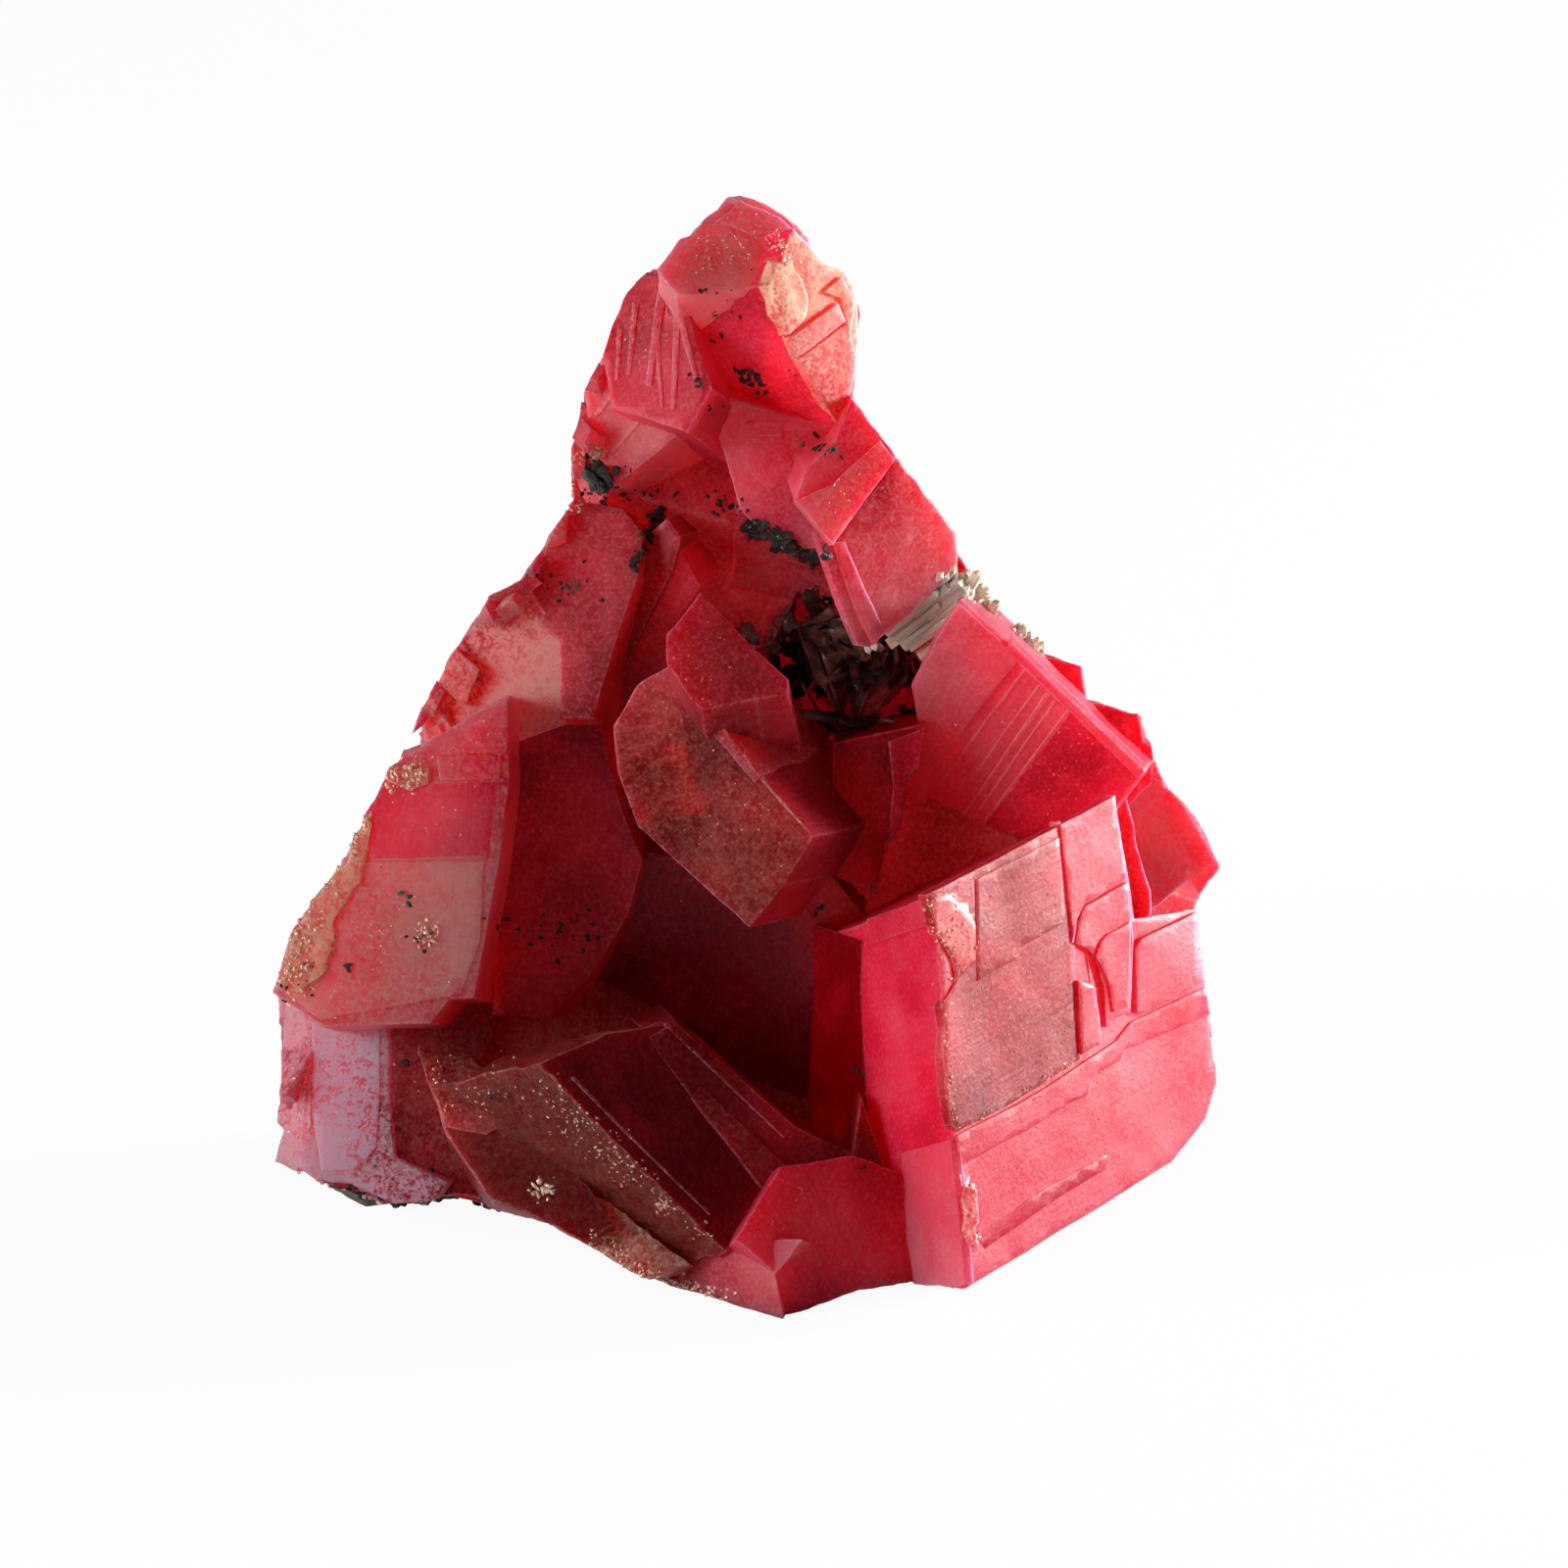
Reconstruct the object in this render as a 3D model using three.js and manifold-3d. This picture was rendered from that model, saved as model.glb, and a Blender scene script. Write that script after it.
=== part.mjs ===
// A hand-sized rhodochrosite specimen: red rhombohedral crystals grown together, with two tufts of quartz
// needles, a few grains of dark sulphide and a back of broken wall rock. It stands on a flat broken base.
// Units are millimetres and +Z is up. The front, where the crystals show, looks towards -Y.
import * as THREE from "three";
import { ConvexGeometry } from "three/addons/geometries/ConvexGeometry.js";
import { mergeVertices } from "three/addons/utils/BufferGeometryUtils.js";
import Module from "manifold-3d";

// The display face is the plane that the front crystals are laid out on. It leans back from upright, and
// on it u runs to the right, v runs up the face and w comes out of it.
const faceLean = THREE.MathUtils.degToRad(18);
const standAt = { x: 0.25, y: -38.25 }; // puts the origin under the middle of the specimen
const gap = 0.3; // between minerals that touch
const faceAngle = THREE.MathUtils.degToRad(102.9); // the blunt angle of a rhodochrosite rhomb's faces

const wasm = await Module();
wasm.setup();

const look = {
  rhodochrosite: { color: "#b01f35", roughness: 0.3, metalness: 0 },
  quartz: { color: "#cdbfae", roughness: 0.2, metalness: 0 },
  smokyQuartz: { color: "#5b3b38", roughness: 0.2, metalness: 0 },
  sulphide: { color: "#22241f", roughness: 0.4, metalness: 0.6 },
  wallRock: { color: "#75705f", roughness: 0.85, metalness: 0 },
};

// ---- solids ----

function solidFrom(geometry, matrix = new THREE.Matrix4()) {
  const placed = new THREE.BufferGeometry();
  placed.setAttribute("position", geometry.getAttribute("position").clone());
  placed.setIndex(geometry.index);
  const merged = mergeVertices(placed.applyMatrix4(matrix), 1e-4);
  const mesh = new wasm.Mesh({
    numProp: 3,
    vertProperties: merged.attributes.position.array,
    triVerts: new Uint32Array(merged.index.array),
  });
  return new wasm.Manifold(mesh);
}

function joined(solids) {
  return solids.reduce((all, next) => all.add(next));
}

function largestBody(solid) {
  return solid.decompose().sort((a, b) => b.volume() - a.volume())[0];
}

function meshOf(name, solid, finish) {
  const { numProp, numVert, vertProperties, triVerts } = solid.getMesh();
  const points = new Float32Array(numVert * 3);
  for (let i = 0; i < numVert; i++) {
    points.set(vertProperties.subarray(i * numProp, i * numProp + 3), i * 3);
  }
  const geometry = new THREE.BufferGeometry();
  geometry.setAttribute("position", new THREE.BufferAttribute(points, 3));
  geometry.setIndex(new THREE.BufferAttribute(new Uint32Array(triVerts), 1));
  geometry.computeVertexNormals();
  const mesh = new THREE.Mesh(geometry, new THREE.MeshStandardMaterial(finish));
  mesh.name = name;
  return mesh;
}

// Everything in front of the plane through `point` whose unit normal is `towards`, as a very large block.
function halfSpace(point, towards) {
  const side = 400;
  const turn = new THREE.Quaternion().setFromUnitVectors(new THREE.Vector3(0, 0, 1), towards);
  const centre = point.clone().addScaledVector(towards, side / 2);
  const matrix = new THREE.Matrix4().compose(centre, turn, new THREE.Vector3(1, 1, 1));
  return solidFrom(new THREE.BoxGeometry(side, side, side), matrix);
}

// ---- frames ----

// Display face (u, v, w) to standing frame (x, y, z).
const faceFrame = new THREE.Matrix4()
  .makeTranslation(standAt.x, standAt.y, 0)
  .multiply(new THREE.Matrix4().makeRotationX(Math.PI / 2 - faceLean));

const onFace = (u, v, w) => new THREE.Vector3(u, v, w).applyMatrix4(faceFrame);

// ---- front crystals ----

// Each crystal shows one flat face, given by its corners on the display face. The face lies at `depth` at its
// first corner and slopes by `across` for each mm to the right and by `up` for each mm upwards. The crystal's
// other edges run back along `sweep`.
const frontCrystals = [
  {
    name: "crown", depth: -3, across: -0.3, up: -0.5, sweep: [1, -8, -22],
    face: [[-1, 114.5], [3.5, 112.5], [6, 110.5], [3.5, 108], [1.5, 104.5], [-7.5, 104], [-9.5, 106.5],
      [-8.5, 108], [-7, 109.5], [-3, 113]],
  },
  {
    name: "summit", depth: 3, across: -0.92, up: 0.21, sweep: [-14, -4, -13],
    face: [[1.5, 105], [3.5, 108], [4.5, 111], [7.5, 107.5], [10, 106.5], [11.2, 103.5], [11, 99],
      [10, 94], [9.5, 89.5]],
  },
  {
    name: "summitSteps", depth: -4, across: 0.45, up: -0.2, sweep: [6, -4, -20],
    face: [[-7.5, 106], [-10.5, 106.5], [-12.5, 104.5], [-15, 101], [-15, 98], [-14, 92.5], [-6.5, 90],
      [-4, 94.5]],
  },
  {
    name: "leftShoulder", depth: -6, across: 0.35, up: 0, sweep: [6, -2, -20],
    face: [[-6.5, 96], [-11, 98], [-15, 98], [-17, 94.5], [-16.5, 90.5], [-18.5, 87.5], [-16.5, 84.5],
      [-13.5, 85], [-7.5, 89.5]],
  },
  {
    name: "apron", depth: -7, across: 0.1, up: 0.45, sweep: [0, 8, -22],
    face: [[-5, 94.5], [9, 90.5], [8.5, 87.5], [5.5, 85.5], [4.5, 83], [8.5, 78.5], [3.5, 78], [-1, 82],
      [-2.5, 87.5]],
  },
  {
    name: "shoulderBand", depth: -5, across: -0.35, up: -0.15, sweep: [-2, 6, -22],
    face: [[10.5, 93.5], [13, 90.5], [15, 87.5], [8.5, 78.5], [4.5, 83], [5.5, 86], [8.5, 89]],
  },
  {
    name: "shoulder", depth: -8, across: -0.55, up: 0.1, sweep: [-4, 4, -22],
    face: [[15, 87.5], [21, 80], [21.5, 77], [19, 74], [14, 69.5], [8.5, 78.5]],
  },
  {
    name: "upperLeft", depth: -12, across: 0.25, up: -0.2, sweep: [4, -3, -22],
    face: [[-11, 80], [-13, 82.5], [-18.5, 83.5], [-20.5, 79.5], [-22.5, 74], [-21.5, 70.5], [-19.5, 69],
      [-19.5, 61], [-16, 61], [-13.5, 69.5], [-11.5, 75.5]],
  },
  {
    name: "column", depth: -13, across: 0.45, up: 0.15, sweep: [4, 2, -18],
    face: [[-8.5, 81.5], [-7, 79.5], [-8, 76], [-11, 70], [-13.5, 64], [-15.5, 60.5], [-16.5, 61],
      [-13.5, 69.5], [-11.5, 75.5], [-12, 78.5]],
  },
  {
    name: "leftLedge", depth: -13, across: 0.35, up: 0.1, sweep: [6, 0, -20],
    face: [[-22, 73.5], [-23.5, 75], [-26.5, 73.5], [-29, 70], [-29.5, 67.5], [-31.5, 65], [-33.5, 62],
      [-33.5, 58.5], [-24, 58.5], [-19, 60.5], [-19, 69.5]],
  },
  {
    name: "leftBlock", depth: -5, across: -0.05, up: -0.05, sweep: [2, -1, -24],
    face: [[-24.5, 63.5], [-24.5, 54.5], [-25.5, 46.5], [-27.5, 36], [-28, 32.5], [-30.5, 32.5],
      [-32.5, 30], [-43.5, 29.5], [-48.5, 33], [-46.5, 39.5], [-43.5, 44], [-41.5, 46], [-39.5, 52],
      [-36.5, 56], [-33.5, 58], [-27.5, 62]],
  },
  {
    name: "darkPanel", depth: -14, across: 0.15, up: 0.1, sweep: [4, 0, -22],
    face: [[-15.5, 61], [-24.5, 61], [-26.5, 30.5], [-20.5, 30.5], [-16.5, 34.5], [-12.5, 41], [-11, 46.5],
      [-13, 51.5]],
  },
  {
    name: "midColumn", depth: -14, across: 0.3, up: 0.25, sweep: [4, 4, -18],
    face: [[-7.5, 79], [-5, 74.5], [-8.5, 69.5], [-7.5, 65.5], [-11.5, 58.5], [-14, 60], [-15.5, 61],
      [-13, 65.5], [-10.5, 70.5]],
  },
  {
    name: "midCap", depth: -7, across: -0.2, up: -0.45, sweep: [2, -10, -18],
    face: [[-5, 74], [-0.5, 69], [4, 65], [4, 63.5], [0.5, 63], [-5, 62], [-8.5, 66.5], [-8.5, 69.5]],
  },
  {
    name: "midRhomb", depth: -7, across: 0.15, up: 0.1, sweep: [9, 2, -16],
    face: [[-5, 62], [6.5, 49], [3.5, 44], [0, 39.5], [-6.5, 45.5], [-11.5, 50], [-13.5, 55.5], [-14, 60],
      [-11.5, 64.5], [-8, 66.5]],
  },
  {
    name: "centreDeep", depth: -17, across: 0.1, up: 0.3, sweep: [0, 6, -20],
    face: [[-11, 47.5], [-6.5, 46.5], [0, 41.5], [7, 46.5], [12, 40.5], [11.5, 23.5], [3.5, 17.5],
      [-7.5, 30], [-16.5, 34.5], [-12.5, 41]],
  },
  {
    name: "pocketStep", depth: -16, across: 0.2, up: 0.1, sweep: [0, 2, -18],
    face: [[8.5, 58.5], [18, 60.5], [17, 55.5], [15.5, 54.5], [15, 49.5], [14, 48], [13, 43], [7, 45.5],
      [6.5, 48.5], [8.5, 53]],
  },
  {
    name: "upperRhomb", depth: -8, across: 0.24, up: 0.7, sweep: [3, 3, -22],
    face: [[21.5, 73], [40.5, 55.5], [36.5, 50], [18, 41.5], [12, 40], [14, 48], [15, 54.5], [17.5, 58.5],
      [16.5, 64.5], [19, 69.5]],
  },
  {
    name: "mainRhomb", depth: 4, across: -1.06, up: -0.01, sweep: [-15, -6, -28],
    face: [[18.5, 43], [37.5, 53], [39.5, 40.5], [46, 41.5], [48, 23.5], [47, 20], [43.5, 15.5], [22, 3]],
  },
  {
    name: "frontRhomb", depth: -3, across: -0.43, up: -0.16, sweep: [-9, -2, -9],
    face: [[-2.5, 6.5], [-21.5, 26], [-14.5, 29], [-7.5, 30], [3, 17]],
  },
  {
    name: "frontPlate", depth: -5, across: -0.3, up: -0.1, sweep: [-2, 2, -20],
    face: [[1, 13], [-10.5, 28.5], [-7.5, 30], [4.5, 19.5], [10.5, 16.5], [11.5, 22.5], [14, 14.5],
      [3.5, 11.5]],
  },
  {
    name: "toeLeft", depth: -2.5, across: 0.9, up: 0.1, sweep: [4, -2, -22],
    face: [[0, 0.5], [3.5, 0], [2.5, 4.5], [5.5, 8], [-2, 8], [-6.5, 6], [-11, 4.5], [-6.5, 2], [-3.5, 1]],
  },
  {
    name: "toeRight", depth: -1, across: -0.6, up: 0.1, sweep: [-3, -3, -24],
    face: [[3.5, 0], [7.5, 1.5], [11.5, 3], [16.5, 3.5], [15.5, 14.5], [10.5, 16.5], [3, 15.5], [-1.5, 8],
      [2.5, 4.5]],
  },
  {
    name: "cornerLeft", depth: -20, across: 0.15, up: 0, sweep: [6, 1, -20],
    face: [[-45.5, 30.5], [-37, 31.5], [-37, 21.5], [-36.5, 16], [-31, 13.5], [-32.5, 11.5], [-36.5, 11.2],
      [-41, 13.2], [-44.5, 13.5], [-46.5, 15]],
  },
  {
    name: "cornerFlank", depth: -20, across: 0.8, up: 0, sweep: [10, -2, -14],
    face: [[-45.5, 31.5], [-48, 31.5], [-48, 24.5], [-47, 21.5], [-49, 15.5], [-46.5, 14.5], [-45, 19.5]],
  },
  {
    name: "lowLeft", depth: -19, across: -0.2, up: 0, sweep: [2, 2, -20],
    face: [[-37, 31.5], [-28.5, 33.5], [-26.5, 28.5], [-29.5, 22.5], [-26.5, 15], [-25.5, 11.5],
      [-30.5, 12.2], [-32.5, 11.5], [-36.5, 15.5]],
  },
  {
    name: "lowLedge", depth: -12, across: 0.1, up: -0.3, sweep: [2, -6, -22],
    face: [[-34, 27.5], [-28.5, 26.5], [-24.5, 23], [-21.5, 24], [-17.5, 15], [-14, 9.5], [-16.5, 7.5],
      [-20.5, 9.5], [-26.5, 12], [-31, 18.5]],
  },
  {
    name: "lowFront", depth: -10, across: 0.2, up: -0.2, sweep: [2, -3, -22],
    face: [[-21.5, 19.5], [-17.5, 14.5], [-12.5, 10], [-6, 5.5], [-10.5, 4], [-16.5, 7], [-21, 9.5]],
  },
  {
    name: "spur", depth: -26, across: -0.2, up: 0.3, sweep: [-6, 3, -18],
    face: [[38, 53], [42.5, 54.5], [45.5, 51.5], [48.5, 46], [45.5, 44.5], [42.5, 42], [38.5, 40]],
  },
  {
    name: "rightPoints", depth: -21, across: 0.1, up: 0.3, sweep: [-3, 1, -18],
    face: [[30, 67.5], [33.5, 67], [34.5, 66], [35, 63], [40, 61.5], [40.5, 58.5], [41.5, 58],
      [41.5, 54.5], [37.5, 50.5], [28.5, 58.5]],
  },
];

function frontCrystal({ depth, across, up, sweep: [du, dv, dw], face }) {
  const outline = new THREE.Shape(face.map(([u, v]) => new THREE.Vector2(u, v)));
  const block = new THREE.ExtrudeGeometry(outline, { depth: 1, bevelEnabled: false });
  const flat = depth - across * face[0][0] - up * face[0][1];
  // Extrusion 1 is the shown face and extrusion 0 is the face at the far end of the sweep.
  const shear = new THREE.Matrix4().set(
    1, 0, -du, du,
    0, 1, -dv, dv,
    across, up, -dw, dw + flat,
    0, 0, 0, 1,
  );
  return solidFrom(block, faceFrame.clone().multiply(shear));
}

// ---- core and side crystals ----

// The outer edge of the specimen as seen square on to the display face. Nothing sticks out beyond it.
const outline = [
  [3.5, 0], [16.5, 3.5], [22, 3], [43.5, 15.5], [47, 20], [48, 23.5], [46, 41.5], [48.5, 46], [46, 51],
  [43, 54], [41.5, 57], [40.3, 61.3], [34.5, 63], [34, 66.3], [29.5, 67.8], [27.5, 70.3], [23.5, 74],
  [21.3, 78], [21, 80], [15, 87.5], [10.5, 93.5], [11.2, 103.5], [10, 106.5], [7.5, 108], [3.5, 112.5],
  [-1, 114.5], [-7, 109.5], [-12.5, 104.5], [-15, 98], [-17, 94.5], [-18.3, 87.5], [-18, 83.5],
  [-20.5, 79.5], [-23.5, 75], [-26.5, 73.5], [-29, 70], [-33.5, 62], [-36.5, 56], [-41.5, 46],
  [-46.5, 39.5], [-48.5, 33], [-48, 24.5], [-49, 15.5], [-44.5, 13.5], [-36.5, 11], [-30.5, 12],
  [-20.5, 9.5], [-10.5, 4], [-3.5, 1],
];
const middle = [0, 46]; // of the outline

// The massive middle narrows towards the back: a depth, and the outline's size there.
const coreRings = [[-23, 0.9], [-38, 0.82], [-52, 0.62]];

function core() {
  const points = coreRings.flatMap(([depth, size]) =>
    outline.filter((_, i) => i % 3 === 0).map(([u, v]) =>
      onFace(middle[0] + (u - middle[0]) * size, middle[1] + (v - middle[1]) * size, depth)));
  return solidFrom(new ConvexGeometry(points));
}

function withinOutline() {
  const shape = new THREE.Shape(outline.map(([u, v]) => new THREE.Vector2(u, v)));
  const block = new THREE.ExtrudeGeometry(shape, { depth: 140, bevelEnabled: false });
  return solidFrom(block, faceFrame.clone().multiply(new THREE.Matrix4().makeTranslation(0, 0, -100)));
}

// The open pocket that the dark needles stand in.
const pocket = {
  depth: 0, across: 0, up: 0, sweep: [1, -1, -30],
  face: [[1, 68], [4, 75], [12, 73.5], [17, 67], [17, 60], [11, 59], [5, 62]],
};

// Rhombohedral crystals on the flanks, top and back: the middle on the display face, the turn in degrees
// about u, v and w, and the three edge lengths.
const flankCrystals = [
  { name: "rightLow", at: [33, 22, -36], turn: [20, 35, 15], edges: [26, 24, 22] },
  { name: "rightMid", at: [30, 40, -38], turn: [-25, 20, 60], edges: [24, 26, 20] },
  { name: "rightHigh", at: [22, 58, -36], turn: [35, -15, 20], edges: [22, 20, 22] },
  { name: "rightNeck", at: [10, 80, -28], turn: [10, 30, -20], edges: [18, 16, 18] },
  { name: "leftLow", at: [-34, 26, -34], turn: [-15, -25, 10], edges: [26, 22, 22] },
  { name: "leftMid", at: [-28, 42, -34], turn: [25, -30, 35], edges: [24, 24, 22] },
  { name: "leftHigh", at: [-18, 64, -34], turn: [-30, 15, -25], edges: [22, 22, 20] },
  { name: "leftNeck", at: [-9, 86, -26], turn: [15, -20, 40], edges: [18, 20, 16] },
  { name: "topBack", at: [-1, 99, -22], turn: [40, 10, 15], edges: [16, 17, 14] },
  { name: "backHigh", at: [2, 78, -38], turn: [-20, 35, 70], edges: [22, 20, 22] },
  { name: "backMid", at: [12, 54, -46], turn: [12, -28, 25], edges: [28, 26, 20] },
  { name: "backLow", at: [16, 30, -48], turn: [-18, 22, -15], edges: [30, 28, 22] },
  { name: "backLeft", at: [-14, 52, -44], turn: [28, 8, 50], edges: [24, 26, 22] },
];

// Three unit edges that meet at the blunt corner of a rhomb.
const leanFromAxis = Math.asin(Math.sqrt((1 - Math.cos(faceAngle)) / 1.5));
const rhombEdges = [0, 1, 2].map((i) => {
  const around = (i * 2 * Math.PI) / 3;
  return new THREE.Vector3(
    Math.sin(leanFromAxis) * Math.cos(around),
    Math.sin(leanFromAxis) * Math.sin(around),
    Math.cos(leanFromAxis),
  );
});

function flankCrystal({ at, turn, edges }) {
  const [a, b, c] = rhombEdges.map((edge, i) => edge.clone().multiplyScalar(edges[i]));
  const turned = new THREE.Euler(...turn.map(THREE.MathUtils.degToRad), "XYZ");
  const matrix = new THREE.Matrix4()
    .makeTranslation(...at)
    .multiply(new THREE.Matrix4().makeRotationFromEuler(turned))
    .multiply(new THREE.Matrix4().makeBasis(a, b, c));
  return solidFrom(new THREE.BoxGeometry(1, 1, 1), faceFrame.clone().multiply(matrix));
}

// ---- quartz needles ----

// A repeatable random number from 0 to 1.
function randomSource(seed) {
  let state = seed;
  return () => {
    state = (state * 1664525 + 1013904223) % 4294967296;
    return state / 4294967296;
  };
}

const needleSides = 6;
const needlePoint = 1.2; // the length of a needle's point in radii
const needleLengths = [0.7, 1.1]; // times the row's length
const needleWidths = [0.7, 1.3]; // times the row's radius

// A needle from `root` along `towards`, with a short point. Both grow by `extra`.
function needle(root, towards, length, radius, extra) {
  const r = radius + extra;
  const profile = [
    new THREE.Vector2(0, -extra),
    new THREE.Vector2(r, -extra),
    new THREE.Vector2(r, length - needlePoint * radius),
    new THREE.Vector2(0, length + extra),
  ];
  const turn = new THREE.Quaternion().setFromUnitVectors(new THREE.Vector3(0, 1, 0), towards);
  const matrix = new THREE.Matrix4().compose(root, turn, new THREE.Vector3(1, 1, 1));
  return solidFrom(new THREE.LatheGeometry(profile, needleSides), matrix);
}

// A tuft: rows of needles that stand on the lumps that hold them. In a row the roots run evenly `from` one
// point `to` another, and each needle leans by up to `spread` from the row's direction.
function tuft({ rows, lumps, seed }, extra = 0) {
  const random = randomSource(seed);
  const solids = lumps.map((lump, i) => lumpOf(lump, seed + i, extra));
  for (const { from, to, lean, spread, count, length, radius } of rows) {
    for (let i = 0; i < count; i++) {
      const root = onFace(...from.map((value, k) => value + ((to[k] - value) * i) / (count - 1)));
      const sway = new THREE.Vector3(random() - 0.5, random() - 0.5, random() - 0.5).multiplyScalar(spread);
      const towards = new THREE.Vector3(...lean).add(sway).transformDirection(faceFrame);
      const long = length * THREE.MathUtils.lerp(...needleLengths, random());
      const thick = radius * THREE.MathUtils.lerp(...needleWidths, random());
      solids.push(needle(root, towards, long, thick, extra));
    }
  }
  return joined(solids);
}

const lumpRings = [[-1, 0.35], [-0.45, 0.9], [0.3, 1], [1, 0.4]]; // height and width of each, in half sizes
const lumpSides = 7;
const lumpRoughness = 0.25; // how far a corner may draw in

// A rough lump about a point of the display face, with half sizes `half`, turned by `tilt` degrees about w.
function lumpOf({ at, half, tilt = 0 }, seed, extra = 0) {
  const random = randomSource(seed);
  const turn = THREE.MathUtils.degToRad(tilt);
  const points = [];
  for (const [rise, width] of lumpRings) {
    for (let i = 0; i < lumpSides; i++) {
      const around = ((i + 0.6 * random()) * 2 * Math.PI) / lumpSides;
      const reach = width * (1 - lumpRoughness + lumpRoughness * random());
      const u = (half[0] + extra) * reach * Math.cos(around);
      const v = (half[1] + extra) * rise * (1 - 0.8 * lumpRoughness * random());
      const w = (half[2] + extra) * reach * Math.sin(around);
      points.push(onFace(
        at[0] + u * Math.cos(turn) - v * Math.sin(turn),
        at[1] + u * Math.sin(turn) + v * Math.cos(turn),
        at[2] + w,
      ));
    }
  }
  return solidFrom(new ConvexGeometry(points));
}

const quartzTufts = [
  {
    name: "quartz_spray", finish: look.quartz, seed: 11,
    rows: [
      { from: [14, 66.5, -18], to: [19, 66, -19], lean: [0.72, 0.66, 0.25], spread: 0.3,
        count: 6, length: 11, radius: 0.7 },
      { from: [16, 70, -19], to: [21, 70, -20], lean: [0.5, 0.8, 0.3], spread: 0.4,
        count: 6, length: 8, radius: 0.6 },
      { from: [19.5, 72, -19], to: [22, 71, -19], lean: [0.05, 0.98, 0.2], spread: 0.2,
        count: 3, length: 6.5, radius: 0.6 },
    ],
    lumps: [
      { at: [18.5, 68, -21], half: [5.5, 3.6, 3] },
      { at: [23, 71.5, -20], half: [2.6, 3, 3] },
      { at: [26, 68.8, -20], half: [3, 2.4, 3] },
      { at: [28.3, 68.6, -20], half: [1.5, 2.3, 2] },
    ],
  },
  {
    name: "pocket_needles", finish: look.smokyQuartz, seed: 5,
    rows: [
      { from: [5, 69, -26], to: [14, 67, -26], lean: [0.1, -0.1, 0.8], spread: 1.5,
        count: 9, length: 7, radius: 0.8 },
      { from: [8, 64, -26], to: [15, 63, -26], lean: [0, 0.1, 0.8], spread: 1.5,
        count: 9, length: 7, radius: 0.6 },
    ],
    lumps: [
      { at: [8, 68.5, -28], half: [6, 5, 3] },
      { at: [11, 64, -28], half: [5.5, 4.5, 3] },
    ],
  },
];

// ---- dark sulphide grains and the pale crust ----

const grains = [
  { name: "sulphide_knob", finish: look.sulphide, seed: 3, at: [-15.2, 85, -9.5], half: [2.2, 2, 2] },
  { name: "sulphide_seam", finish: look.sulphide, seed: 8, at: [3, 78.3, -12], half: [4.4, 1.5, 2], tilt: -26 },
  { name: "sulphide_wedge", finish: look.sulphide, seed: 4, at: [-10.2, 80, -11], half: [1.3, 3, 1.8], tilt: -28 },
  { name: "quartz_crust", finish: look.quartz, seed: 6, at: [-45.2, 36, -3.4], half: [2.4, 5.2, 2.4], tilt: -35 },
];

// ---- wall rock ----

// The crystals grew on one flat wall, which now lies low at the back left. Its normal points into the rock.
const wall = { at: [-38, 11, -33], into: new THREE.Vector3(-0.3, 0.85, -0.42) };

const rockBlocks = [
  { at: [-37, 14, -39], half: [9, 9, 8], seed: 21 },
  { at: [-29, 22, -50], half: [14, 13, 8], seed: 22 },
  { at: [-10, 15, -56], half: [17, 11, 7], seed: 24 },
  { at: [-27, 36, -47], half: [12, 12, 9], seed: 23 },
  { at: [-8, 36, -55], half: [13, 12, 6], seed: 27 },
  { at: [12, 20, -56], half: [13, 10, 7], seed: 28 },
];

// An angular block about a point of the display face: the hull of a few points scattered on an ellipsoid.
function rockBlock({ at, half, seed }) {
  const random = randomSource(seed);
  const count = 17;
  const points = [];
  for (let i = 0; i < count; i++) {
    const rise = 1 - (2 * (i + 0.5)) / count;
    const around = i * 2.4 + random();
    const ring = Math.sqrt(1 - rise * rise);
    const reach = 0.8 + 0.4 * random();
    points.push(onFace(
      at[0] + half[0] * reach * ring * Math.cos(around),
      at[1] + half[1] * reach * rise,
      at[2] + half[2] * reach * ring * Math.sin(around),
    ));
  }
  return solidFrom(new ConvexGeometry(points));
}

// ---- the specimen ----

const aboveGround = halfSpace(new THREE.Vector3(0, 0, 0), new THREE.Vector3(0, 0, 1));
const intoRock = wall.into.clone().normalize();
const beforeWall = halfSpace(onFace(...wall.at), intoRock.clone().negate());
const behindWall = halfSpace(onFace(...wall.at).addScaledVector(intoRock, gap), intoRock);
const room = withinOutline().intersect(aboveGround);

const inlays = [
  ...quartzTufts.map((one) => tuft(one, gap)),
  ...grains.map((one) => lumpOf(one, one.seed, gap)),
];
const backs = joined([core(), ...flankCrystals.map(flankCrystal)]).subtract(frontCrystal(pocket));
const crystals = joined([...frontCrystals.map(frontCrystal), backs])
  .intersect(room)
  .intersect(beforeWall)
  .subtract(joined(inlays));
const rock = joined([core(), ...rockBlocks.map(rockBlock)]).intersect(aboveGround).intersect(behindWall);

const specimen = new THREE.Group();
specimen.add(meshOf("rhodochrosite_cluster", largestBody(crystals), look.rhodochrosite));
specimen.add(meshOf("wall_rock", largestBody(rock), look.wallRock));
quartzTufts.forEach((one, i) => {
  // Where two tufts cross, the later one runs on and the earlier one stops short of it.
  const later = quartzTufts.slice(i + 1).map((other) => tuft(other, gap));
  const solid = later.reduce((left, other) => left.subtract(other), tuft(one));
  specimen.add(meshOf(one.name, largestBody(solid), one.finish));
});
for (const one of grains) {
  specimen.add(meshOf(one.name, lumpOf(one, one.seed), one.finish));
}

export default specimen;
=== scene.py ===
import bpy, bmesh, math, random
from mathutils import Euler, Matrix, Vector, noise
from mathutils.bvhtree import BVHTree


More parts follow.
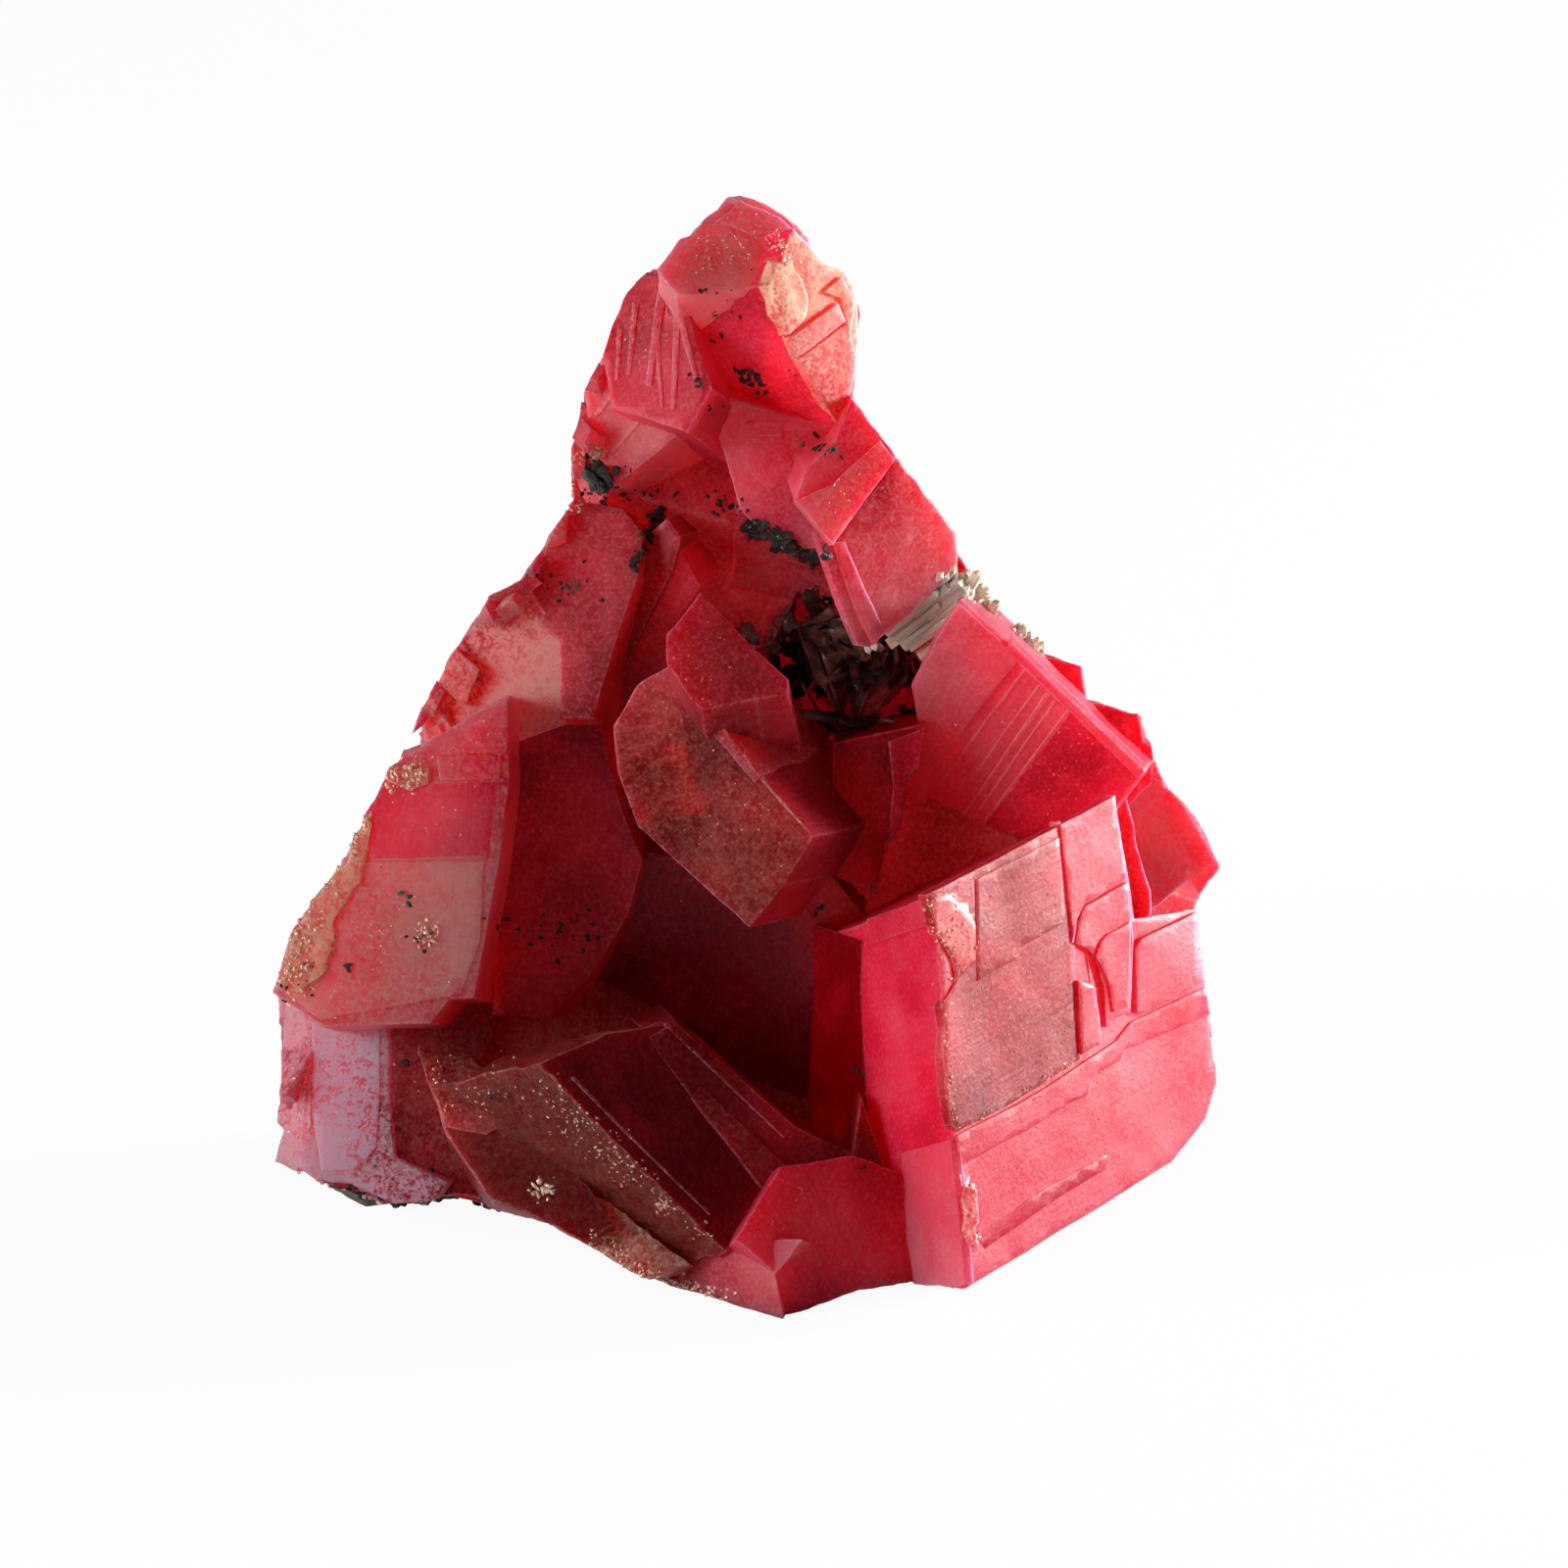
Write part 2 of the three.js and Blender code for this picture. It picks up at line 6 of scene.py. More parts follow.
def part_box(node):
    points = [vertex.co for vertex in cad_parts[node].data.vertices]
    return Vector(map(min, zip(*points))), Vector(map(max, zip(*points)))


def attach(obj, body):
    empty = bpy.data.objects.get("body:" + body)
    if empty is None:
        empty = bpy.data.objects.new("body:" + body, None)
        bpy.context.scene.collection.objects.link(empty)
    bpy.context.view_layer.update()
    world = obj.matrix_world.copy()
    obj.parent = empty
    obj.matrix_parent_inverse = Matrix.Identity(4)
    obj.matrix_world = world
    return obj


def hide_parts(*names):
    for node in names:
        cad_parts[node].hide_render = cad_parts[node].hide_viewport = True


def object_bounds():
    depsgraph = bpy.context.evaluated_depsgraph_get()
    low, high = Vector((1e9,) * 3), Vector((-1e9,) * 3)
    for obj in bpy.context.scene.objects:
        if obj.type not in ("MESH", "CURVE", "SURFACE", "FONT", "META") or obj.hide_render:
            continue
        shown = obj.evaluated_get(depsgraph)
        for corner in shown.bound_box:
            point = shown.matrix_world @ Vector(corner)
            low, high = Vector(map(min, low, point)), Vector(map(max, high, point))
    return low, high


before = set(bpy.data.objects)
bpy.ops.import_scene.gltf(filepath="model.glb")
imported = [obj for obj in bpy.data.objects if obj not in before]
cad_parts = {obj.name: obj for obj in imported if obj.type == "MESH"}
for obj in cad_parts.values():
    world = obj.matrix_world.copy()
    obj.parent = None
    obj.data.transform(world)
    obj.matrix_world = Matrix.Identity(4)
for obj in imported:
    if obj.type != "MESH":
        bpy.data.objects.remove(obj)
cadBox = [list(corner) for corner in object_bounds()]
scene = bpy.context.scene

mm = 0.001
faceLean = math.radians(18)  # the display face leans back this much from upright
clusterLow, clusterHigh = (Vector(corner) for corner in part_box("rhodochrosite_cluster"))
# The display face has u to the right, v up the face and w out of it, all in mm.
faceOrigin = clusterLow + Vector((49, 0.57, 0)) * mm
faceTurn = Matrix.Rotation(math.pi / 2 - faceLean, 4, "X")
faceFrame = Matrix.Translation(faceOrigin) @ faceTurn @ Matrix.Scale(mm, 4)
upright = faceTurn.inverted().to_3x3() @ Vector((0, 0, 1))  # world up, seen on the display face


camera = {
    "aim": (3.5, 54.3, -8),  # middle of the view, on the display face
    "away": 1.9,  # metres
    "wide": 0.160,  # metres across the view at the aim point
    "sensor": 36,
}


def makeCamera():
    data = bpy.data.cameras.new("camera")
    data.sensor_width = camera["sensor"]
    data.lens = camera["sensor"] * camera["away"] / camera["wide"]
    data.clip_end = 20
    obj = bpy.data.objects.new("camera", data)
    scene.collection.objects.link(obj)
    place = faceFrame @ Vector(camera["aim"]) + faceTurn.to_3x3() @ Vector((0, 0, camera["away"]))
    obj.matrix_world = Matrix.Translation(place) @ faceTurn
    scene.camera = obj


lights = {  # "from" is a direction on the display face
    "key": {"from": (0.88, 0.2, -0.24), "away": 0.9, "size": (0.3, 0.22), "power": 27, "colour": (1, 0.96, 0.93)},
    "fill": {"from": (-0.85, 0.15, 0.5), "away": 0.9, "size": (0.5, 0.4), "power": 11, "colour": (1, 0.95, 0.94)},
}
lightMiddle = (0, 50, -15)  # what the lights point at, on the display face


def makeLight(name, light):
    data = bpy.data.lights.new(name, "AREA")
    data.energy = light["power"]
    data.color = light["colour"]
    data.shape = "RECTANGLE"
    data.size, data.size_y = light["size"]
    obj = bpy.data.objects.new(name, data)
    scene.collection.objects.link(obj)
    direction = (faceTurn.to_3x3() @ Vector(light["from"])).normalized()
    place = faceFrame @ Vector(lightMiddle) + direction * light["away"]
    obj.matrix_world = Matrix.Translation(place) @ direction.to_track_quat("Z", "Y").to_matrix().to_4x4()


studio = {
    "floorRadius": 3,  # metres
    "floorColour": (0.9, 0.9, 0.9, 1),
    "floorWhiter": 0.94,  # how far the camera sees the floor as plain white
    "ambient": 0.08,
}


def makeStudio():
    bm = bmesh.new()
    bmesh.ops.create_circle(bm, cap_ends=True, segments=64, radius=studio["floorRadius"])
    mesh = bpy.data.meshes.new("floor")
    bm.to_mesh(mesh)
    bm.free()
    floor = bpy.data.objects.new("floor", mesh)
    scene.collection.objects.link(floor)
    material = bpy.data.materials.new("pale floor")
    material.use_nodes = True
    nodes, links = material.node_tree.nodes, material.node_tree.links
    shader = nodes["Principled BSDF"]
    shader.inputs["Base Color"].default_value = studio["floorColour"]
    shader.inputs["Roughness"].default_value = 0.8
    glow = nodes.new("ShaderNodeEmission")
    path = nodes.new("ShaderNodeLightPath")
    part = nodes.new("ShaderNodeMath")
    part.operation = "MULTIPLY"
    part.inputs[1].default_value = studio["floorWhiter"]
    mix = nodes.new("ShaderNodeMixShader")
    links.new(path.outputs["Is Camera Ray"], part.inputs[0])
    links.new(part.outputs[0], mix.inputs[0])
    links.new(shader.outputs[0], mix.inputs[1])
    links.new(glow.outputs[0], mix.inputs[2])
    links.new(mix.outputs[0], nodes["Material Output"].inputs["Surface"])
    mesh.materials.append(material)

    world = bpy.data.worlds.new("studio")
    scene.world = world
    world.use_nodes = True
    background = world.node_tree.nodes["Background"]
    background.inputs["Color"].default_value = (1, 1, 1, 1)
    background.inputs["Strength"].default_value = studio["ambient"]
    scene.view_settings.view_transform = "Standard"


def newGroup(name, inputs, outputs):
    group = bpy.data.node_groups.new(name, "ShaderNodeTree")
    for socket, kind, value in inputs:
        made = group.interface.new_socket(name=socket, in_out="INPUT", socket_type=kind)
        if value is not None:
            made.default_value = value
    for socket, kind in outputs:
        group.interface.new_socket(name=socket, in_out="OUTPUT", socket_type=kind)
    return group, group.nodes.new("NodeGroupInput"), group.nodes.new("NodeGroupOutput")


def feed(tree, socket, value):
    # a constant is set on the socket, an output is linked to it
    if isinstance(value, (int, float, tuple)):
        socket.default_value = value
    else:
        tree.links.new(value, socket)


def addMath(tree, operation, *values):
    node = tree.nodes.new("ShaderNodeMath")
    node.operation = operation
    for socket, value in zip(node.inputs, values):
        feed(tree, socket, value)
    return node.outputs[0]


def addNoise(tree, vector, scale, detail, roughness=0.5):
    node = tree.nodes.new("ShaderNodeTexNoise")
    for name, value in (("Vector", vector), ("Scale", scale), ("Detail", detail), ("Roughness", roughness)):
        feed(tree, node.inputs[name], value)
    return node.outputs["Fac"]


def addRange(tree, value, low, high, toLow=0.0, toHigh=1.0):
    node = tree.nodes.new("ShaderNodeMapRange")
    names = ("Value", "From Min", "From Max", "To Min", "To Max")
    for name, number in zip(names, (value, low, high, toLow, toHigh)):
        feed(tree, node.inputs[name], number)
    return node.outputs["Result"]


def addMix(tree, factor, first, second):
    node = tree.nodes.new("ShaderNodeMix")
    node.data_type = "RGBA"
    for socket, value in ((node.inputs[0], factor), (node.inputs[6], first), (node.inputs[7], second)):
        feed(tree, socket, value)
    return node.outputs[2]


def addRamp(tree, value, stops):
    node = tree.nodes.new("ShaderNodeValToRGB")
    tree.links.new(value, node.inputs[0])
    ramp = node.color_ramp
    while len(ramp.elements) < len(stops):
        ramp.elements.new(0.5)
    for element, (place, colour) in zip(ramp.elements, stops):
        element.position = place
        element.color = (*colour, 1)
    return node.outputs[0]


def addAttribute(tree, name):
    node = tree.nodes.new("ShaderNodeAttribute")
    node.attribute_name = name
    return node.outputs["Fac"]


def objectPoint(tree):
    return tree.nodes.new("ShaderNodeTexCoord").outputs["Object"]


def newMaterial(name):
    material = bpy.data.materials.new(name)
    material.use_nodes = True
    tree = material.node_tree
    return material, tree, tree.nodes["Principled BSDF"]


def addCloud(tree, veils, sizes):
    cloud = tree.nodes.new("ShaderNodeGroup")
    cloud.node_tree = veils
    for name, size in sizes.items():
        cloud.inputs[name].default_value = size
    tree.links.new(objectPoint(tree), cloud.inputs["Vector"])
    return cloud.outputs


def addBump(tree, shader, height, strength, distance):
    bump = tree.nodes.new("ShaderNodeBump")
    bump.inputs["Strength"].default_value = strength
    bump.inputs["Distance"].default_value = distance * mm
    tree.links.new(height, bump.inputs["Height"])
    tree.links.new(bump.outputs[0], shader.inputs["Normal"])


def veilGroup():
    # cloudy streaks and specks inside and on a crystal
    group, start, end = newGroup(
        "veils",
        [("Vector", "NodeSocketVector", None), ("Cloud size", "NodeSocketFloat", 90.0),
         ("Speck size", "NodeSocketFloat", 2600.0)],
        [("Clouds", "NodeSocketFloat"), ("Wisps", "NodeSocketFloat"), ("Specks", "NodeSocketFloat")])
    vector = start.outputs["Vector"]
    clouds = addNoise(group, vector, start.outputs["Cloud size"], 3, 0.5)
    wisps = addNoise(group, vector, addMath(group, "MULTIPLY", start.outputs["Cloud size"], 5.5), 6, 0.68)
    ridges = addMath(group, "ABSOLUTE", addMath(group, "SUBTRACT", wisps, 0.5))
    specks = addNoise(group, vector, start.outputs["Speck size"], 2, 0.5)
    group.links.new(clouds, end.inputs["Clouds"])
    group.links.new(addRange(group, ridges, 0.0, 0.07, 1.0, 0.0), end.inputs["Wisps"])
    group.links.new(addRange(group, specks, 0.48, 0.7), end.inputs["Specks"])
    return group


def striationGroup():
    # fine growth lines that run along the grain of each crystal
    group, start, end = newGroup(
        "growth lines",
        [("Grain", "NodeSocketVector", None), ("Lines", "NodeSocketFloat", 2.2)],
        [("Height", "NodeSocketFloat"), ("Streaks", "NodeSocketFloat")])
    stretch = group.nodes.new("ShaderNodeMapping")
    stretch.inputs["Scale"].default_value = (0.05, 1, 1)
    group.links.new(start.outputs["Grain"], stretch.inputs["Vector"])
    fine = addNoise(group, stretch.outputs[0], start.outputs["Lines"], 3, 0.6)
    broad = addNoise(group, stretch.outputs[0], addMath(group, "MULTIPLY", start.outputs["Lines"], 0.22), 2, 0.5)
    steps = group.nodes.new("ShaderNodeMath")
    steps.operation = "SNAP"
    group.links.new(broad, steps.inputs[0])
    steps.inputs[1].default_value = 0.06
    height = addMath(group, "ADD", addMath(group, "MULTIPLY", fine, 0.5), steps.outputs[0])
    group.links.new(height, end.inputs["Height"])
    group.links.new(addRange(group, fine, 0.35, 0.7), end.inputs["Streaks"])
    return group


rhodochrosite = {
    "deep": (0.16, 0.0, 0.004), "wine": (0.44, 0.005, 0.03), "red": (0.86, 0.022, 0.08),
    "rose": (0.94, 0.11, 0.19), "pink": (0.98, 0.28, 0.36),
    # the lilac is painted reflection: a cool haze of light, shown where straw is below 0
    "lilacSheen": (0.74, 0.52, 0.66), "frost": (0.86, 0.37, 0.36), "straw": (0.86, 0.66, 0.4),
    "transmission": 0.6, "ior": 1.5, "specular": 0.14, "gleam": (0.6, 0.2, 0.24),
    "absorb": (0.88, 0.1, 0.19), "density": 100,
    # painted shade: the body colour is darkened round this point in the recessed centre, most within the first
    # distance and fading by the second
    "shadeCentre": (1, 31, -14), "shadeCentreSize": (0.008, 0.042), "shadeCentreTint": (-0.2, -0.03),
    "glow": (1.0, 0.1, 0.17), "glowDepth": 0.012,
}


def rhodochrositeMaterial(veils, striations):
    stone = rhodochrosite
    material, tree, shader = newMaterial("rhodochrosite")
    shader.inputs["IOR"].default_value = stone["ior"]
    shader.inputs["Specular IOR Level"].default_value = stone["specular"]
    shader.inputs["Specular Tint"].default_value = (*stone["gleam"], 1)
    shader.inputs["Transmission Weight"].default_value = stone["transmission"]
    shader.inputs["Subsurface Weight"].default_value = 1
    shader.inputs["Subsurface Radius"].default_value = stone["glow"]
    shader.inputs["Subsurface Scale"].default_value = stone["glowDepth"]

    cloud = addCloud(tree, veils, {})
    lines = tree.nodes.new("ShaderNodeGroup")
    lines.node_tree = striations
    grain = tree.nodes.new("ShaderNodeUVMap")
    grain.uv_map = "grain"
    tree.links.new(grain.outputs[0], lines.inputs["Grain"])

    tint = addAttribute(tree, "tint")
    frost = addAttribute(tree, "frost")
    straw = addAttribute(tree, "straw")
    shade = addMath(tree, "ADD", tint, addRange(tree, cloud["Clouds"], 0.3, 0.7, -0.2, 0.2))
    shade = addMath(tree, "ADD", shade, addRange(tree, lines.outputs["Streaks"], 0, 1, -0.03, 0.03))
    shade = addMath(tree, "ADD", shade, addRange(tree, cloud["Specks"], 0, 1, -0.05, 0.1))
    shadeCentre = tree.nodes.new("ShaderNodeVectorMath")  # painted shade: the body colour darkens round the shaded centre of the group
    shadeCentre.operation = "DISTANCE"
    tree.links.new(objectPoint(tree), shadeCentre.inputs[0])
    shadeCentre.inputs[1].default_value = faceFrame @ Vector(stone["shadeCentre"])
    near, far = stone["shadeCentreSize"]
    shade = addMath(tree, "ADD", shade, addRange(tree, shadeCentre.outputs["Value"], near, far, *stone["shadeCentreTint"]))
    body = addRamp(tree, shade, [(0, stone["deep"]), (0.25, stone["wine"]), (0.52, stone["red"]),
                                 (0.78, stone["rose"]), (1, stone["pink"])])
    # frost gathers in wisps, specks and along the growth lines
    patchy = addMath(tree, "ADD", addMath(tree, "MULTIPLY", cloud["Wisps"], 0.42),
                     addMath(tree, "MULTIPLY", cloud["Specks"], 0.6))
    patchy = addMath(tree, "ADD", patchy, addMath(tree, "MULTIPLY", lines.outputs["Streaks"], 0.1))
    patchy = addMath(tree, "ADD", patchy, addRange(tree, cloud["Clouds"], 0.3, 0.7, 0.0, 0.36))
    cover = addMath(tree, "MULTIPLY", frost, patchy)
    cover.node.use_clamp = True
    # below 0, straw turns the frost lilac, a painted reflection of cool light
    yellow = addRange(tree, straw, -1, 1)
    pale = addRamp(tree, yellow, [(0, stone["lilacSheen"]), (0.5, stone["frost"]), (1, stone["straw"])])
    tree.links.new(addMix(tree, cover, body, pale), shader.inputs["Base Color"])
    tree.links.new(addRange(tree, cover, 0, 1, 0.28, 0.62), shader.inputs["Roughness"])

    # bumps: growth lines, and fine etching where frosted
    etch = addNoise(tree, objectPoint(tree), 1900, 3, 0.6)
    height = addMath(tree, "ADD", addMath(tree, "MULTIPLY", lines.outputs["Height"], 0.3),
                     addMath(tree, "MULTIPLY", etch, addRange(tree, frost, 0, 1, 0.15, 0.6)))
    addBump(tree, shader, height, 0.5, 0.25)

    absorb = tree.nodes.new("ShaderNodeVolumeAbsorption")
    absorb.inputs["Color"].default_value = (*stone["absorb"], 1)
    absorb.inputs["Density"].default_value = stone["density"]
    tree.links.new(absorb.outputs[0], tree.nodes["Material Output"].inputs["Volume"])
    return material


def look(tint, frost, crinkle=None, straw=None, grain=None):
    # how deep or pale, how frosted, how crinkled, how yellow (below 0 it turns lilac, a painted reflection of cool
    # light), and the grain's angle
    given = {"tint": tint, "frost": frost, "crinkle": crinkle, "straw": straw, "grain": grain}
    return {name: value for name, value in given.items() if value is not None}


# Each front crystal shows one flat face, given by its corners on the display face. The face lies at depth w at its
# first corner, and its slope is the change in w for each mm to the right and for each mm upwards. Its other edges
# run back along "sweep".
frontCrystals = {
    "crown": {
        "depth": -3, "slope": (-0.3, -0.5), "sweep": (1, -8, -22), "look": look(1, 0.8, 0.8, 0.1, 160),
        "face": [(-1, 114.5), (3.5, 112.5), (6, 110.5), (3.5, 108), (1.5, 104.5), (-7.5, 104), (-9.5, 106.5),
                 (-8.5, 108), (-7, 109.5), (-3, 113)],
    },
    "summit": {
        # the summit's pale straw frost is partly its own frosting and partly a painted highlight of the light it
        # faces
        "depth": 3, "slope": (-0.92, 0.21), "sweep": (-14, -4, -13), "look": look(0.72, 1.2, 0.3, 0.95, 35),
        "side": look(0.58, 0.12, 0.3, 0),
        "face": [(1.5, 105), (3.5, 108), (4.5, 111), (7.5, 107.5), (10, 106.5), (11.2, 103.5), (11, 99),
                 (10, 94), (9.5, 89.5)],
    },
    "summitSteps": {
        "depth": -4, "slope": (0.45, -0.2), "sweep": (6, -4, -20), "look": look(0.4, 0.15, 0.15, 0, 105),
        "face": [(-7.5, 106), (-10.5, 106.5), (-12.5, 104.5), (-15, 101), (-15, 98), (-14, 92.5), (-6.5, 90),
                 (-4, 94.5)],
    },
    "leftShoulder": {
        "depth": -6, "slope": (0.35, 0), "sweep": (6, -2, -20), "look": look(0.58, 0.5, 0.2, 0.2, 60),
        "face": [(-6.5, 96), (-11, 98), (-15, 98), (-17, 94.5), (-16.5, 90.5), (-18.5, 87.5), (-16.5, 84.5),
                 (-13.5, 85), (-7.5, 89.5)],
    },
    "apron": {
        "depth": -7, "slope": (0.1, 0.45), "sweep": (0, 8, -22), "look": look(0.82, 0.3, 0.35, 0, 60),
        "face": [(-5, 94.5), (9, 90.5), (8.5, 87.5), (5.5, 85.5), (4.5, 83), (8.5, 78.5), (3.5, 78), (-1, 82),
                 (-2.5, 87.5)],
    },
    "shoulderBand": {
        "depth": -5, "slope": (-0.35, -0.15), "sweep": (-2, 6, -22), "look": look(0.7, 0.35, 0.1, 0, 50),
        "face": [(10.5, 93.5), (13, 90.5), (15, 87.5), (8.5, 78.5), (4.5, 83), (5.5, 86), (8.5, 89)],
    },
    "shoulder": {
        "depth": -8, "slope": (-0.55, 0.1), "sweep": (-4, 4, -22), "look": look(0.62, 0.5, 0.35, 0, 50),
        "face": [(15, 87.5), (21, 80), (21.5, 77), (19, 74), (14, 69.5), (8.5, 78.5)],
    },
    "upperLeft": {
        "depth": -12, "slope": (0.25, -0.2), "sweep": (4, -3, -22), "look": look(0.3, 0.25, 0.2, 0.1, 60),
        "face": [(-11, 80), (-13, 82.5), (-18.5, 83.5), (-20.5, 79.5), (-22.5, 74), (-21.5, 70.5),
                 (-19.5, 69), (-19.5, 61), (-16, 61), (-13.5, 69.5), (-11.5, 75.5)],
    },
    "column": {
        # painted shade: the very low tint darkens this crystal in its recess
        "depth": -13, "slope": (0.45, 0.15), "sweep": (4, 2, -18), "look": look(0.08, 0.14, 0.1, 0, 70),
        "face": [(-8.5, 81.5), (-7, 79.5), (-8, 76), (-11, 70), (-13.5, 64), (-15.5, 60.5), (-16.5, 61),
                 (-13.5, 69.5), (-11.5, 75.5), (-12, 78.5)],
    },
    "leftLedge": {
        "depth": -13, "slope": (0.35, 0.1), "sweep": (6, 0, -20), "look": look(0.44, 1.6, 0.2, 0.1, 60),
        "face": [(-22, 73.5), (-23.5, 75), (-26.5, 73.5), (-29, 70), (-29.5, 67.5), (-31.5, 65), (-33.5, 62),
                 (-33.5, 58.5), (-24, 58.5), (-19, 60.5), (-19, 69.5)],
    },
    "leftBlock": {
        "depth": -5, "slope": (-0.05, -0.05), "sweep": (2, -1, -24), "look": look(0.74, 0.7, 0.2, 0.1, 85),
        "side": look(0.76, 0.3),
        "face": [(-24.5, 63.5), (-24.5, 54.5), (-25.5, 46.5), (-27.5, 36), (-28, 32.5), (-30.5, 32.5),
                 (-32.5, 30), (-43.5, 29.5), (-48.5, 33), (-46.5, 39.5), (-43.5, 44), (-41.5, 46),
                 (-39.5, 52), (-36.5, 56), (-33.5, 58), (-27.5, 62)],
    },
    "darkPanel": {
        "depth": -14, "slope": (0.15, 0.1), "sweep": (4, 0, -22), "look": look(0.42, 0.12, 0.1, 0, 80),
        "face": [(-15.5, 61), (-24.5, 61), (-26.5, 30.5), (-20.5, 30.5), (-16.5, 34.5), (-12.5, 41),
                 (-11, 46.5), (-13, 51.5)],
    },
    "midColumn": {
        "depth": -14, "slope": (0.3, 0.25), "sweep": (4, 4, -18), "look": look(0.42, 0.15, 0.1, 0, 65),
        "face": [(-7.5, 79), (-5, 74.5), (-8.5, 69.5), (-7.5, 65.5), (-11.5, 58.5), (-14, 60), (-15.5, 61),
                 (-13, 65.5), (-10.5, 70.5)],
    },
    "midCap": {
        "depth": -7, "slope": (-0.2, -0.45), "sweep": (2, -10, -18), "look": look(0.34, 0.2, 0.3, 0, 130),
        "face": [(-5, 74), (-0.5, 69), (4, 65), (4, 63.5), (0.5, 63), (-5, 62), (-8.5, 66.5), (-8.5, 69.5)],
    },
    "midRhomb": {
        "depth": -7, "slope": (0.15, 0.1), "sweep": (9, 2, -16), "look": look(0.24, 0.28, 0.2, 0.35, 130),
        "side": look(0.42, 0.15, straw=0),
        "face": [(-5, 62), (6.5, 49), (3.5, 44), (0, 39.5), (-6.5, 45.5), (-11.5, 50), (-13.5, 55.5),
                 (-14, 60), (-11.5, 64.5), (-8, 66.5)],
    },
    "centreDeep": {
        # its low tint is partly the deep red of thick crystal and partly painted shade of the recessed centre
        "depth": -17, "slope": (0.1, 0.3), "sweep": (0, 6, -20), "look": look(0.2, 0.03, 0.1, 0, 50),
        "face": [(-11, 47.5), (-6.5, 46.5), (0, 41.5), (7, 46.5), (12, 40.5), (11.5, 23.5), (3.5, 17.5),
                 (-7.5, 30), (-16.5, 34.5), (-12.5, 41)],
    },
    "pocketStep": {
        "depth": -16, "slope": (0.2, 0.1), "sweep": (0, 2, -18), "look": look(0.25, 0.02, 0, 0, 85),
        "face": [(8.5, 58.5), (18, 60.5), (17, 55.5), (15.5, 54.5), (15, 49.5), (14, 48), (13, 43), (7, 45.5),
                 (6.5, 48.5), (8.5, 53)],
    },
    "upperRhomb": {
        "depth": -8, "slope": (0.24, 0.7), "sweep": (3, 3, -22), "look": look(0.84, 0.2, 0.05, 0, 55),
        "face": [(21.5, 73), (40.5, 55.5), (36.5, 50), (18, 41.5), (12, 40), (14, 48), (15, 54.5),
                 (17.5, 58.5), (16.5, 64.5), (19, 69.5)],
    },
    "mainRhomb": {
        "depth": 4, "slope": (-1.06, -0.01), "sweep": (-15, -6, -28), "look": look(0.68, 0.2, 0.03, 0, 30),
        "side": look(0.72, 0, 0.1),
        "face": [(18.5, 43), (37.5, 53), (39.5, 40.5), (46, 41.5), (48, 23.5), (47, 20), (43.5, 15.5),
                 (22, 3)],
    },
    "frontRhomb": {
        "depth": -3, "slope": (-0.43, -0.16), "sweep": (-9, -2, -9), "look": look(0.14, 0.04, 0.1, 0, 130),
        "side": look(0.03, 0.14, 1, 0.8),
        "face": [(-2.5, 6.5), (-21.5, 26), (-14.5, 29), (-7.5, 30), (3, 17)],
    },
    "frontPlate": {
        "depth": -5, "slope": (-0.3, -0.1), "sweep": (-2, 2, -20), "look": look(0.24, 0.08, 0.1, 0, 130),
        "face": [(1, 13), (-10.5, 28.5), (-7.5, 30), (4.5, 19.5), (10.5, 16.5), (11.5, 22.5), (14, 14.5),
                 (3.5, 11.5)],
    },
    "toeLeft": {
        "depth": -2.5, "slope": (0.9, 0.1), "sweep": (4, -2, -22), "look": look(0.6, 0.25, 0.4, 0.3, 30),
        "face": [(0, 0.5), (3.5, 0), (2.5, 4.5), (5.5, 8), (-2, 8), (-6.5, 6), (-11, 4.5), (-6.5, 2),
                 (-3.5, 1)],
    },
    "toeRight": {
        "depth": -1, "slope": (-0.6, 0.1), "sweep": (-3, -3, -24), "look": look(0.56, 0.05, 0.3, 0.1, 120),
        "face": [(3.5, 0), (7.5, 1.5), (11.5, 3), (16.5, 3.5), (15.5, 14.5), (10.5, 16.5), (3, 15.5),
                 (-1.5, 8), (2.5, 4.5)],
    },
    # painted reflection: the heavy lilac frost on these corner crystals paints a cool haze of light
    "cornerLeft": {
        "depth": -20, "slope": (0.15, 0), "sweep": (6, 1, -20), "look": look(0.5, 1.6, 0.1, -0.7, 85),
        "face": [(-45.5, 30.5), (-37, 31.5), (-37, 21.5), (-36.5, 16), (-31, 13.5), (-32.5, 11.5),
                 (-36.5, 11.2), (-41, 13.2), (-44.5, 13.5), (-46.5, 15)],
    },
    "cornerFlank": {
        "depth": -20, "slope": (0.8, 0), "sweep": (10, -2, -14), "look": look(0.6, 1.6, 0.4, -0.5, 85),
        "face": [(-45.5, 31.5), (-48, 31.5), (-48, 24.5), (-47, 21.5), (-49, 15.5), (-46.5, 14.5),
                 (-45, 19.5)],
    },
    "lowLeft": {
        "depth": -19, "slope": (-0.2, 0), "sweep": (2, 2, -20), "look": look(0.34, 0.3, 0.3, 0.2, 80),
        "face": [(-37, 31.5), (-28.5, 33.5), (-26.5, 28.5), (-29.5, 22.5), (-26.5, 15), (-25.5, 11.5),
                 (-30.5, 12.2), (-32.5, 11.5), (-36.5, 15.5)],
    },
    "lowLedge": {
        "depth": -12, "slope": (0.1, -0.3), "sweep": (2, -6, -22), "look": look(0.02, 0.1, 0.5, 0.6, 140),
        "face": [(-34, 27.5), (-28.5, 26.5), (-24.5, 23), (-21.5, 24), (-17.5, 15), (-14, 9.5), (-16.5, 7.5),
                 (-20.5, 9.5), (-26.5, 12), (-31, 18.5)],
    },
    "lowFront": {
